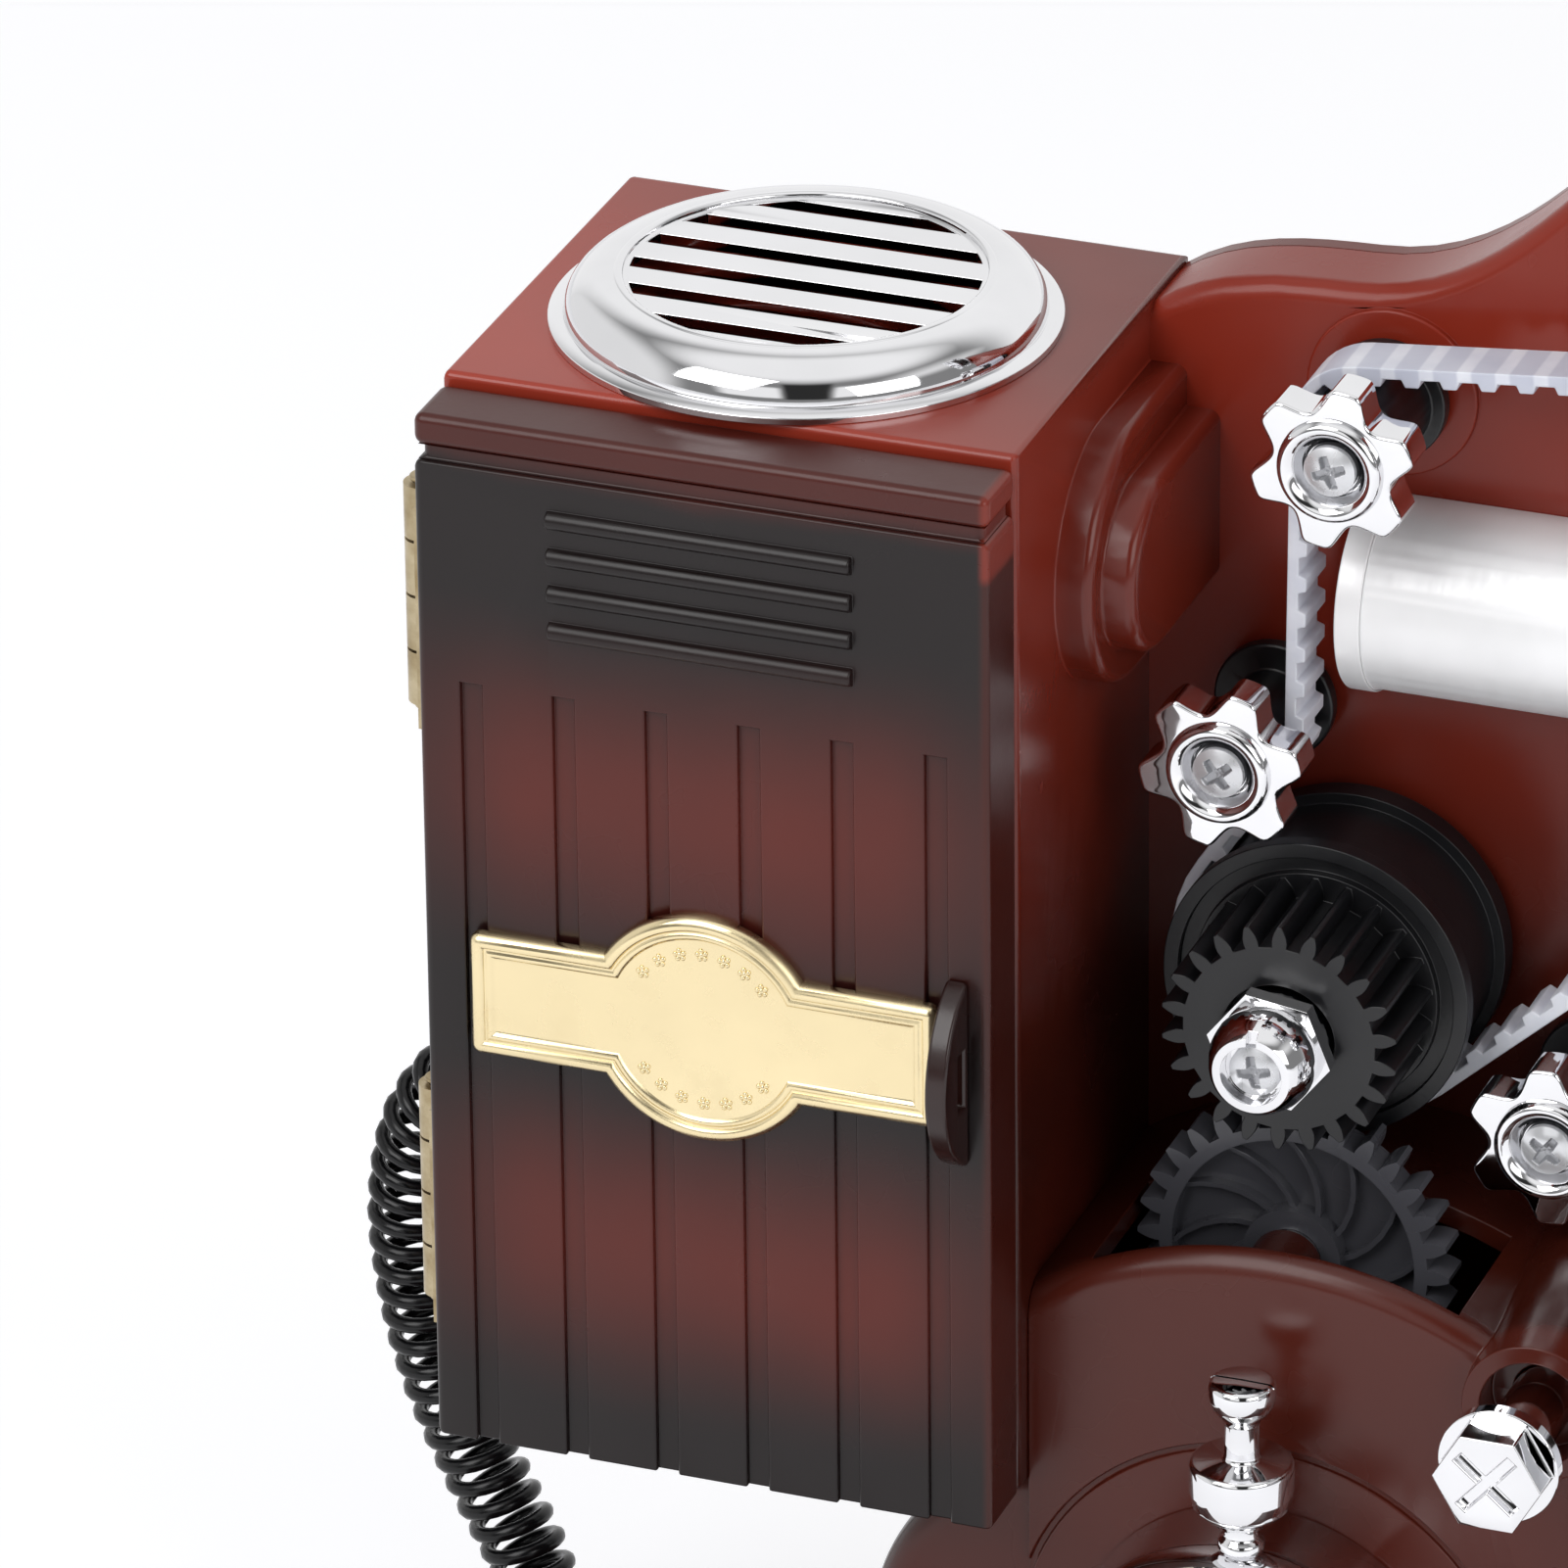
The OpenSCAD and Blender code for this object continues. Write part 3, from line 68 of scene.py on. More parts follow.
# Camera: fitted to the edges of the lamp house in the photo
CAM_AZ, CAM_EL, CAM_ROLL = (math.radians(v) for v in (20.988, 26.478, -0.69))
CAM_TX, CAM_TY, CAM_DIST = -33.64, 40.587, 1307.0
CAM_UNIT = 0.9643
CAM_SHIFT = (93.0, 10.0, -200.0)
FOCAL_PX, IMAGE_PX, SENSOR_MM = 13549.0, 1601.0, 36.0


def make_camera():
    level = math.cos(CAM_EL)
    back = Vector((math.sin(CAM_AZ) * level, -math.cos(CAM_AZ) * level, math.sin(CAM_EL)))
    fore = -back
    right = fore.cross(Vector((0, 0, 1))).normalized()
    up = right.cross(fore)
    rgt = math.cos(CAM_ROLL) * right + math.sin(CAM_ROLL) * up
    top = -math.sin(CAM_ROLL) * right + math.cos(CAM_ROLL) * up
    at = -(CAM_TX * rgt + CAM_TY * top + CAM_DIST * fore)
    place = Vector([(at[i] - CAM_SHIFT[i]) * CAM_UNIT * MM for i in range(3)])
    cam = bpy.data.cameras.new("camera")
    cam.lens = FOCAL_PX / IMAGE_PX * SENSOR_MM
    cam.sensor_width = SENSOR_MM
    cam.sensor_fit = "HORIZONTAL"
    cam.clip_start, cam.clip_end = 0.05, 20.0
    ob = bpy.data.objects.new("camera", cam)
    bpy.context.collection.objects.link(ob)
    m = Matrix((rgt, top, back)).transposed().to_4x4()
    m.translation = place
    ob.matrix_world = m
    bpy.context.scene.camera = ob


make_camera()


# Material helpers
class Mat:
    """One procedural material: short calls to add and wire its nodes."""

    def __init__(self, name, color=None, rough=0.5, metal=0.0, **sockets):
        self.m = bpy.data.materials.new(name)
        self.m.use_nodes = True
        self.t = self.m.node_tree
        self.b = self.t.nodes["Principled BSDF"]
        if color is not None:
            self.b.inputs["Base Color"].default_value = color
            self.m.diffuse_color = color
        self.b.inputs["Roughness"].default_value = rough
        self.b.inputs["Metallic"].default_value = metal
        for k, v in sockets.items():
            self.b.inputs[k.replace("_", " ")].default_value = v
        self._coord = None

    def node(self, kind, inputs=None, **props):
        n = self.t.nodes.new("ShaderNode" + kind)
        for k, v in props.items():
            setattr(n, k, v)
        for k, v in (inputs or {}).items():
            if hasattr(v, "is_output"):
                self.t.links.new(v, n.inputs[k])
            else:
                n.inputs[k].default_value = v
        return n

    def coord(self, scale=(1, 1, 1)):
        if self._coord is None:
            self._coord = self.node("TexCoord").outputs["Object"]
        if scale == (1, 1, 1):
            return self._coord
        return self.node("Mapping", {"Vector": self._coord, "Scale": scale}).outputs[0]

    def noise(self, scale, detail=3.0, rough=0.55, stretch=(1, 1, 1)):
        inputs = {"Vector": self.coord(stretch), "Scale": scale, "Detail": detail, "Roughness": rough}
        return self.node("TexNoise", inputs).outputs["Fac"]

    def mix(self, fac, a, b):
        n = self.node("Mix", data_type="RGBA", blend_type="MIX")
        for i, v in ((0, fac), (6, a), (7, b)):
            if hasattr(v, "is_output"):
                self.t.links.new(v, n.inputs[i])
            else:
                n.inputs[i].default_value = v
        return n.outputs[2]

    def math(self, op, a, b=0.0, clamp=False):
        n = self.node("Math", operation=op, use_clamp=clamp)
        for i, v in ((0, a), (1, b)):
            if hasattr(v, "is_output"):
                self.t.links.new(v, n.inputs[i])
            else:
                n.inputs[i].default_value = v
        return n.outputs[0]

    def to_range(self, v, a, b, c, d, smooth=False):
        n = self.node("MapRange", {"Value": v, 1: a, 2: b, 3: c, 4: d})
        if smooth:
            n.interpolation_type = "SMOOTHSTEP"
        return n.outputs[0]

    def radius(self, xyz, centre):
        """Distance from an axle along Y, whose place is in millimetres."""
        dx, dz = (self.math("SUBTRACT", xyz[axis], mid * MM) for axis, mid in zip((0, 2), centre))
        return self.math("SQRT", self.math("ADD", self.math("MULTIPLY", dx, dx), self.math("MULTIPLY", dz, dz)))

    def set(self, socket, v):
        self.t.links.new(v, self.b.inputs[socket])
        return self

    def bump(self, height, strength=0.2, dist=0.0002):
        n = self.node("Bump", {"Height": height, "Strength": strength, "Distance": dist})
        self.t.links.new(n.outputs[0], self.b.inputs["Normal"])
        return self


def moulding(name, base, dark, rough=0.3, grain=0.1, shine=0.3, painted_shade=None):
    """Moulded plastic: cloudy colour, fine orange peel, roughness that wanders.

    The optional shade function takes the material and the piece's coordinates, and gives by place the share of
    the second colour, which is painted shade.
    """
    k = Mat(name, base, rough, 0.0, Specular_IOR_Level=shine)
    tone_share = k.to_range(k.noise(22, 4), 0.3, 0.75, 0.0, 1.0)
    if painted_shade:
        xyz = k.node("SeparateXYZ", {0: k.coord()}).outputs
        wander = k.math("MULTIPLY", k.math("SUBTRACT", k.noise(26, 3), 0.5), 0.35)
        # Painted shade laid on by place, with a little random wander.
        tone_share = k.math("ADD", painted_shade(k, xyz), wander, True)
    k.set("Base Color", k.mix(tone_share, base, dark))
    k.set("Roughness", k.to_range(k.noise(70, 3), 0.3, 0.7, rough - 0.05, rough + 0.08))
    return k.bump(k.noise(1400, 2), grain, 0.00008)


def deeper(color, share):
    """A colour taken down by a share."""
    return tuple(c * share for c in color[:3]) + (1,)


def plated(name, base, rough=0.06, wave=0.08, metal=1.0):
    """Bright plating on a moulding: faint waviness and a little haze."""
    k = Mat(name, base, rough, metal)
    k.set("Roughness", k.to_range(k.noise(180, 4), 0.35, 0.75, rough * 0.5, rough * 1.9))
    tone_share = k.to_range(k.noise(60, 3), 0.3, 0.8, 0, 1)
    k.set("Base Color", k.mix(tone_share, base, deeper(base, 0.9)))
    return k.bump(k.noise(260, 2), wave, 0.0001)


def lamp_roof_tone_and_wall_shade(k, xyz):
    """Roof brightest at its front left; painted shade on the walls, darker to their foot and behind the boss.
    """
    back = k.to_range(k.math("ADD", xyz[0], xyz[1]), -0.085, 0.0, 0.0, 0.62, True)
    foot = k.to_range(xyz[2], 0.190, 0.118, 0.4, 0.93, True)
    foot = k.math("ADD", foot, k.to_range(xyz[0], -0.0318, -0.0302, 0.0, 0.16), True)
    roof = k.to_range(xyz[2], 0.1905, 0.1927, 0.0, 1.0)
    walls = k.math("SUBTRACT", 1.0, roof)
    return k.math("ADD", k.math("MULTIPLY", back, roof), k.math("MULTIPLY", foot, walls))


def frame_painted_shade(k, xyz):
    """Painted shade: darker round the drum and towards the housing."""
    return k.to_range(xyz[2], 0.186, 0.110, 0.0, 1.0, True)


def house_painted_shade(k, xyz):
    """Browner on the front face than on the rounded edge, whose darker colour is painted shade."""
    return k.to_range(xyz[1], -0.0042, -0.0069, 0.05, 1.0, True)


IDLER_AT, WEB_R = (-9.3, 103.9), 12.4


def gear_web_shade(k, xyz):
    """Painted shade: deeper black on the sunk web inside the ring of teeth."""
    return k.to_range(k.radius(xyz, IDLER_AT), (WEB_R - 0.3) * MM, (WEB_R + 0.2) * MM, 0.9, 0.1)


RED = moulding("red_shell", srgb(112, 36, 23), srgb(92, 29, 19), 0.25, 0.1, 0.4)
# Lamp house: the dark second colour is painted shade down the walls, and darkens the roof towards its back
# right.
LAMP = moulding("red_lamp_house", srgb(162, 56, 39), srgb(46, 16, 10), 0.21, 0.08, 0.4, lamp_roof_tone_and_wall_shade)
# Frame: the dark second colour is painted shade, low down round the drum and towards the housing.
FRAME = moulding("red_frame", srgb(134, 43, 28), srgb(62, 22, 15), 0.22, 0.08, 0.3, frame_painted_shade)
# Housing: the darker base colour on the rounded edge and rim top is painted shade; the second colour is the
# browner front face.
HOUSE = moulding("red_housing", srgb(54, 17, 9), srgb(80, 29, 19), 0.24, 0.1, 0.37, house_painted_shade)
CHROME = plated("chrome", srgb(236, 236, 238), 0.04)
BLACK = moulding("black_plastic", srgb(20, 20, 23), srgb(14, 14, 16), 0.33, 0.18, 0.5)
# Idler gear: black plastic given a lighter grey base as painted light, since it sits in the drum's shade; its
# sunk web gets painted shade.
LIT_GEAR = moulding("black_gear_painted_light", srgb(80, 80, 86), srgb(64, 64, 69), 0.24, 0.12, 0.5, gear_web_shade)
BROWN = moulding("dark_brown", srgb(44, 18, 14), srgb(32, 13, 11), 0.25, 0.1, 0.5)
BASE = moulding("dark_base", srgb(66, 21, 15), srgb(48, 17, 13), 0.26, 0.12, 0.4)
RUBBER = moulding("rubber", srgb(34, 34, 35), srgb(26, 26, 27), 0.7, 0.5, 0.3)
CORD = moulding("cord_black", srgb(14, 14, 16), srgb(9, 9, 11), 0.2, 0.05, 0.32)
GOLD = plated("gold", srgb(240, 222, 178), 0.2, 0.05)


def turned_metal(name, base, rough, axis, lines=900.0, metal=1.0):
    """Satin metal with turning lines round one axis."""
    k = Mat(name, base, rough, metal)
    stretch = tuple(1.0 if i == axis else 0.02 for i in range(3))
    line = k.noise(lines, 3, 0.6, stretch)
    k.set("Roughness", k.to_range(line, 0.3, 0.7, rough - 0.07, rough + 0.1))
    tone_share = k.to_range(k.noise(40, 3), 0.3, 0.75, 0, 1)
    k.set("Base Color", k.mix(tone_share, base, deeper(base, 0.86)))
    return k.bump(line, 0.06, 0.00005)


SATIN = turned_metal("satin_metal", srgb(252, 252, 253), 0.36, 0, metal=0.18)
REEL = turned_metal("reel_metal", srgb(214, 215, 219), 0.32, 1)
STEEL = turned_metal("steel", srgb(196, 197, 200), 0.28, 1)
SCREW = plated("screw_metal", srgb(226, 227, 230), 0.28, 0.1, 0.5)
# Darker metal for the faces sunk in the screws' cross: painted shade in the recess.
RECESS_SHADE = plated("recess_painted_shade", srgb(176, 177, 181), 0.35, 0.1, 0.5)


def brass_material():
    k = Mat("brass", srgb(182, 167, 134), 0.34, 1.0)
    patch = k.to_range(k.noise(160, 5, 0.65), 0.35, 0.7, 0, 1)
    k.set("Base Color", k.mix(patch, srgb(190, 176, 146), srgb(142, 123, 88)))
    k.set("Roughness", k.to_range(k.noise(300, 4), 0.3, 0.7, 0.24, 0.48))
    return k.bump(k.noise(900, 3), 0.15, 0.00008)


BRASS = brass_material()


def door_material():
    """Airbrushed sunburst: two red-brown bands on near black, darker towards the edges."""
    k = Mat("dark_door", srgb(30, 16, 14), 0.3, 0.0, Specular_IOR_Level=0.36)
    xyz = k.node("SeparateXYZ", {0: k.coord()})
    wander = k.math("MULTIPLY", k.math("SUBTRACT", k.noise(30, 3), 0.5), 0.006)
    z = k.math("ADD", xyz.outputs[2], wander)

    def band(mid, half):
        d = k.math("ABSOLUTE", k.math("SUBTRACT", z, mid))
        return k.to_range(d, 0.0, half, 1.0, 0.0, True)

    red = k.math("ADD", band(0.1535, 0.0215), band(0.1065, 0.0195), True)
    cornice = k.to_range(z, 0.186, 0.1895, 0.0, 0.6, True)
    side = k.math("ABSOLUTE", k.math("SUBTRACT", xyz.outputs[0], (LAMP_X0 + LAMP_X1) / 2 * MM))
    edge = k.to_range(side, 0.017, 0.029, 1.0, 0.42, True)
    red = k.math("MAXIMUM", k.math("MULTIPLY", red, edge), cornice)
    tone = k.mix(red, srgb(21, 12, 12), srgb(98, 33, 23))
    flank = k.to_range(xyz.outputs[0], (LAMP_X1 - 1.2) * MM, (LAMP_X1 - 0.2) * MM, 0.0, 0.75, True)
    tone = k.mix(flank, tone, srgb(76, 27, 18))
    end = k.math("MULTIPLY", flank, k.to_range(xyz.outputs[2], 0.1828, 0.1838, 0.0, 1.3))
    tone = k.mix(end, tone, srgb(140, 52, 38))
    k.set("Base Color", k.mix(k.to_range(k.noise(24, 4), 0.3, 0.75, 0, 0.3), tone, srgb(16, 9, 8)))
    k.set("Roughness", k.to_range(k.noise(80, 3), 0.3, 0.7, 0.26, 0.36))
    return k.bump(k.noise(1400, 2), 0.12, 0.00008)


DOOR = door_material()

# The belt's top run: its slope and the pitch of its teeth.
RUN_TURN, RUN_PITCH = math.radians(5.79), 3.815


def tooth_phase():
    """Where the teeth stand along the belt's top run, from the part's own belt."""
    c, w = math.cos(RUN_TURN), math.sin(RUN_TURN)
    run = [(v.co.x * c + v.co.z * w, v.co.z * c - v.co.x * w) for v in NODES["film_belt"].data.vertices
           if 0 < v.co.x / MM < 24 and v.co.z / MM > 188]
    top = max(n for _, n in run)
    turns = [2 * math.pi * s / (RUN_PITCH * MM) for s, n in run if 1.7 < (top - n) / MM < 2.3]
    return math.atan2(sum(map(math.sin, turns)), sum(map(math.cos, turns)))


def belt_material():
    """Milky belt: on its top run the teeth show through as paler stripes."""
    k = Mat("belt", srgb(228, 230, 238), 0.35, 0.0, Subsurface_Weight=0.35, Subsurface_Scale=0.0012)
    k.b.inputs["Subsurface Radius"].default_value = (1.0, 1.0, 1.0)
    tone_share = k.to_range(k.noise(220, 3), 0.3, 0.7, 0, 1)
    tone = k.mix(tone_share, srgb(232, 234, 242), srgb(214, 217, 228))
    xyz = k.node("SeparateXYZ", {0: k.coord()}).outputs
    s = k.math("ADD", k.math("MULTIPLY", xyz[0], math.cos(RUN_TURN)),
               k.math("MULTIPLY", xyz[2], math.sin(RUN_TURN)))
    turn = k.math("SUBTRACT", k.math("MULTIPLY", s, 2 * math.pi / (RUN_PITCH * MM)), tooth_phase())
    gap = k.to_range(k.math("COSINE", turn), 0.1, 0.65, 0.55, 0.0, True)
    gap = k.math("MULTIPLY", gap, k.to_range(xyz[2], 0.1885, 0.1905, 0.0, 1.0))
    k.set("Base Color", k.mix(gap, tone, srgb(176, 180, 198)))
    return k.bump(k.noise(1600, 2), 0.08, 0.00006)


BELT = belt_material()


def glass_material():
    k = Mat("lens_glass", srgb(226, 238, 244), 0.03, 0.0, Transmission_Weight=0.9, IOR=1.5)
    k.set("Roughness", k.to_range(k.noise(120, 3), 0.3, 0.8, 0.01, 0.06))
    return k.bump(k.noise(60, 1), 0.02, 0.0001)


GLASS = glass_material()

# Pitch of the film's wound rings, in metres.
FILM_T = 0.0005


def film_material(centre):
    """Wound film: fine rings round the reel's axle."""
    k = Mat("film", srgb(44, 38, 36), 0.4, 0.0)
    r = k.radius(k.node("SeparateXYZ", {0: k.coord()}).outputs, centre)
    ring = k.math("SINE", k.math("MULTIPLY", r, 2 * math.pi / FILM_T))
    ring = k.to_range(k.math("ADD", ring, k.noise(500, 2)), -1.0, 2.0, 0, 1)
    k.set("Base Color", k.mix(ring, srgb(34, 29, 28), srgb(64, 54, 50)))
    return k.bump(ring, 0.3, 0.0001)


# Geometry helpers
def add(ob, body, *replaced, slot=None):
    """Puts a piece on its body and hides the CAD nodes it stands for."""
    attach(ob, body)
    if replaced:
        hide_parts(*replaced)
    return ob


BODY_OF = {n: b for b, ns in frame["record"]["behaviour"]["bodies"].items() for n in ns}
SLOT_OF = {s["node"]: s["material_slot"] for s in frame["record"]["subparts"]}


def link(name, mesh, mat):
    ob = bpy.data.objects.new(name, mesh)
    bpy.context.collection.objects.link(ob)
    mesh.materials.clear()
    mesh.materials.append(mat.m)
    return ob


def smooth(mesh, angle=32.0):
    mesh.shade_smooth()
    mesh.set_sharp_from_angle(angle=math.radians(angle))


INNER_SHARE = 0.3


def refine(node, mat, width=0.35, seg=3, angle=38.0, share=None):
    """A CAD node with its edges rounded as on the real moulding.

    share takes an edge's two ends in millimetres, and gives its part of the full width.
    """
    me = NODES[node].data.copy()
    bm = bmesh.new()
    bm.from_mesh(me)
    bmesh.ops.remove_doubles(bm, verts=bm.verts, dist=2e-6)
    bmesh.ops.dissolve_limit(bm, angle_limit=math.radians(0.4), verts=bm.verts, edges=bm.edges)
    if share:
        weight = bm.edges.layers.float.new("bevel_weight_edge")
        for e in bm.edges:
            if len(e.link_faces) == 2 and e.calc_face_angle(0) > math.radians(angle):
                e[weight] = share(*(v.co / MM for v in e.verts)) * (1.0 if e.is_convex else INNER_SHARE)
    bm.to_mesh(me)
    bm.free()
    ob = link(node + "_piece", me, mat)
    smooth(me, angle)
    mod = ob.modifiers.new("edge", "BEVEL")
    mod.width = width * MM
    mod.segments = seg
    mod.limit_method = "WEIGHT" if share else "ANGLE"
    mod.angle_limit = math.radians(angle)
    mod.use_clamp_overlap = not share
    mod.harden_normals = True
    return add(ob, BODY_OF[node], node, slot=SLOT_OF[node])


# Curly cord: the same route and curls as in the part's source
CORD_D, CURL_R, CURLS, CORD_Y = 1.65, 3.65, 32, 33.0
ROUTE = [(LAMP_X0 - 3, LAMP_Z0 + 17.6), (LAMP_X0 - 13.4, LAMP_Z0 + 15), (LAMP_X0 - 20.8, LAMP_Z0 + 7.6),
         (LAMP_X0 - 23.4, LAMP_Z0 - 2.6), (LAMP_X0 - 22.8, LAMP_Z0 - 13.2), (LAMP_X0 - 20.2, LAMP_Z0 - 23.8),
         (LAMP_X0 - 15.8, LAMP_Z0 - 34.2), (LAMP_X0 - 10.9, LAMP_Z0 - 44.5), (LAMP_X0 - 8.3, ZB + 3)]
CURL_STEPS = 20


def cord_points():
    p = np.array(ROUTE)
    n = len(p)
    inner = [tuple((p[i + 1] - p[i - 1]) / 2) for i in range(1, n - 1)]
    tan = np.array([(-10.5, 0)] + inner + [(0, -11)])

    def at(u):
        i = min(int(u), n - 2)
        t = u - i
        return ((2 * t**3 - 3 * t * t + 1) * p[i] + (t**3 - 2 * t * t + t) * tan[i]
                + (3 * t * t - 2 * t**3) * p[i + 1] + (t**3 - t * t) * tan[i + 1])

    fine = np.array([at((n - 1) * i / 960) for i in range(961)])
    cum = np.concatenate([[0], np.cumsum(np.linalg.norm(np.diff(fine, axis=0), axis=1))])
    total = cum[-1]

    def on(s):
        return at((n - 1) * np.interp(np.clip(s, 0, total), cum, np.arange(961)) / 960)

    steps = CURLS * CURL_STEPS
    out = [(LAMP_X0 - 1, CORD_Y, ROUTE[0][1]), (LAMP_X0 - 1 - CORD_D, CORD_Y, ROUTE[0][1])]
    for i in range(steps + 1):
        s = total * i / steps
        c = on(s)
        d = on(min(total, s + 0.3)) - on(max(0, s - 0.3))
        d = d / np.linalg.norm(d)
        f = min(1.0, min(i, steps - i) / (1.5 * CURL_STEPS))
        r = CURL_R * f * f * (3 - 2 * f)
        a = 2 * math.pi * i / CURL_STEPS
        out.append((c[0] - r * math.cos(a) * d[1], CORD_Y + r * math.sin(a), c[1] + r * math.cos(a) * d[0]))
    end = ROUTE[-1][0]
    out += [(end, CORD_Y, ZB + 1 + CORD_D), (end, CORD_Y, ZB + 1)]
    return np.array(out) * MM


def make_cord():
    pts = cord_points()
    cu = bpy.data.curves.new("curly_cord", "CURVE")
    cu.dimensions = "3D"
    sp = cu.splines.new("POLY")
    sp.points.add(len(pts) - 1)
    for q, p in zip(sp.points, pts):
        q.co = (*p, 1)
    sp.use_smooth = True
    cu.bevel_depth = CORD_D / 2 * MM
    cu.bevel_resolution = 4
    cu.use_fill_caps = True
    cu.materials.append(CORD.m)
    ob = bpy.data.objects.new("curly_cord", cu)
    bpy.context.collection.objects.link(ob)
    add(ob, "chassis", "cord", slot="cord_black")


make_cord()

# Bare gold plate with a stepped border and two rows of beads
PLATE_X, PLATE_Z = (LAMP_X0 + LAMP_X1) / 2, LAMP_Z1 - 61.2
PLATE_W, PLATE_H, DISC_R = 47.9, 13.0, 12.0
PLATE_STEPS = [(0.0, 0.0), (0.0, 0.55), (0.12, 0.9), (0.4, 1.2), (0.75, 1.38), (1.1, 1.4), (1.35, 1.28),
               (1.5, 1.02), (1.68, 1.0), (1.85, 1.12), (2.05, 1.16), (2.25, 1.08), (2.45, 0.84), (2.7, 0.8)]


def plate_loop(d):
    """Outline of the plate, drawn in by d."""
    w, h, r = PLATE_W / 2 - d, PLATE_H / 2 - d, DISC_R - d
    meet = math.asin(h / r)
    c = max(0.08, 1.0 - d)
    out = []

    def corner(x, z, start):
        for k in range(6):
            a = math.radians(start + 18 * k)
            out.append((x + c * math.cos(a), z + c * math.sin(a)))

    def arc(a, b):
        for k in range(49):
            t = a + (b - a) * k / 48
            out.append((r * math.cos(t), r * math.sin(t)))

    corner(w - c, -h + c, -90)
    corner(w - c, h - c, 0)
    arc(meet, math.pi - meet)
    corner(-w + c, h - c, 90)
    corner(-w + c, -h + c, 180)
    arc(math.pi + meet, 2 * math.pi - meet)
    return out


# Each rosette is a middle bead with five smaller ones round it.
ROSETTES, ROSETTE_STEP, ROSETTE_R = 7, 16.5, 8.0
PETAL_AT, PETAL_TURNS = 0.44, [0.5 + 2 * math.pi * i / 5 for i in range(5)]
PETALS = [(PETAL_AT * math.cos(t), PETAL_AT * math.sin(t)) for t in PETAL_TURNS]
ROSETTE = [((0, 0), 0.34)] + [(q, 0.27) for q in PETALS]


def make_plate():
    bm = bmesh.new()
    rings = []
    for d, out in PLATE_STEPS:
        y = (DOOR_Y0 - out) * MM
        rings.append([bm.verts.new(((PLATE_X + x) * MM, y, (PLATE_Z + z) * MM)) for x, z in plate_loop(d)])
    n = len(rings[0])
    for a, b in zip(rings, rings[1:]):
        for i in range(n):
            j = (i + 1) % n
            bm.faces.new((a[i], a[j], b[j], b[i]))
    bm.faces.new(rings[-1])
    bm.faces.new(list(reversed(rings[0])))
    floor_y = DOOR_Y0 - PLATE_STEPS[-1][1]
    for side in (1, -1):
        for k in range(ROSETTES):
            a = math.radians(90 + (k - ROSETTES // 2) * ROSETTE_STEP)
            x, z = PLATE_X + ROSETTE_R * math.cos(a), PLATE_Z + side * ROSETTE_R * math.sin(a)
            at = Vector((x, floor_y, z)) * MM
            for q, size in ROSETTE:
                m = Matrix.Translation(at + Vector((q[0], 0, q[1])) * MM) @ Matrix.Diagonal((1, 0.75, 1, 1))
                bmesh.ops.create_uvsphere(bm, u_segments=12, v_segments=8, radius=size * MM, matrix=m)
    bmesh.ops.recalc_face_normals(bm, faces=bm.faces)
    me = bpy.data.meshes.new("bare_plate")
    bm.to_mesh(me)
    bm.free()
    ob = link("bare_plate", me, GOLD)
    smooth(me, 40)
    add(ob, "door", "name_plate", slot="gold")


make_plate()

# Domed screws with a cross recess, one in each star and one in the drum's nut
SCREWS = [(-7.1, 8.3, 187.0, 20), (-18.1, 8.3, 153.4, 38), (15.4, 8.3, 118.5, 55), (30.9, 8.3, 190.4, 5),
          (30.9, 8.3, 153.8, 70), (-9.3, -6.2, 129.9, 12)]
STAR_Y = 9.2
HEAD_R, HEAD_RISE, HEAD_T, SHANK_R, SHANK_END = 2.55, 0.6, 1.2, 0.88, 4.5
HEAD_RINGS, HEAD_SEGS = 26, 96
ARM_W, ARM_L, ARM_DEPTH = 0.42, 1.75, 0.95


def step(v, a, b):
    t = min(1.0, max(0.0, (v - a) / (b - a)))
    return t * t * (3 - 2 * t)


def head_depth(r, a, turn):
    """Depth of the head's face at a radius and an angle: a dome with two tapering arms sunk in."""
    arm = 0.0
    for k in range(2):
        w = a - turn - k * math.pi / 2
        along, across = abs(r * math.cos(w)), abs(r * math.sin(w))
        wide = ARM_W * (1.25 - 0.4 * along / ARM_L)
        end = step(ARM_L - along, 0.0, 0.25) * (1 - 0.45 * along / ARM_L)
        arm = max(arm, step(wide - across, -0.06, 0.08) * end)
    return HEAD_RISE * (r / HEAD_R) ** 2 + ARM_DEPTH * arm


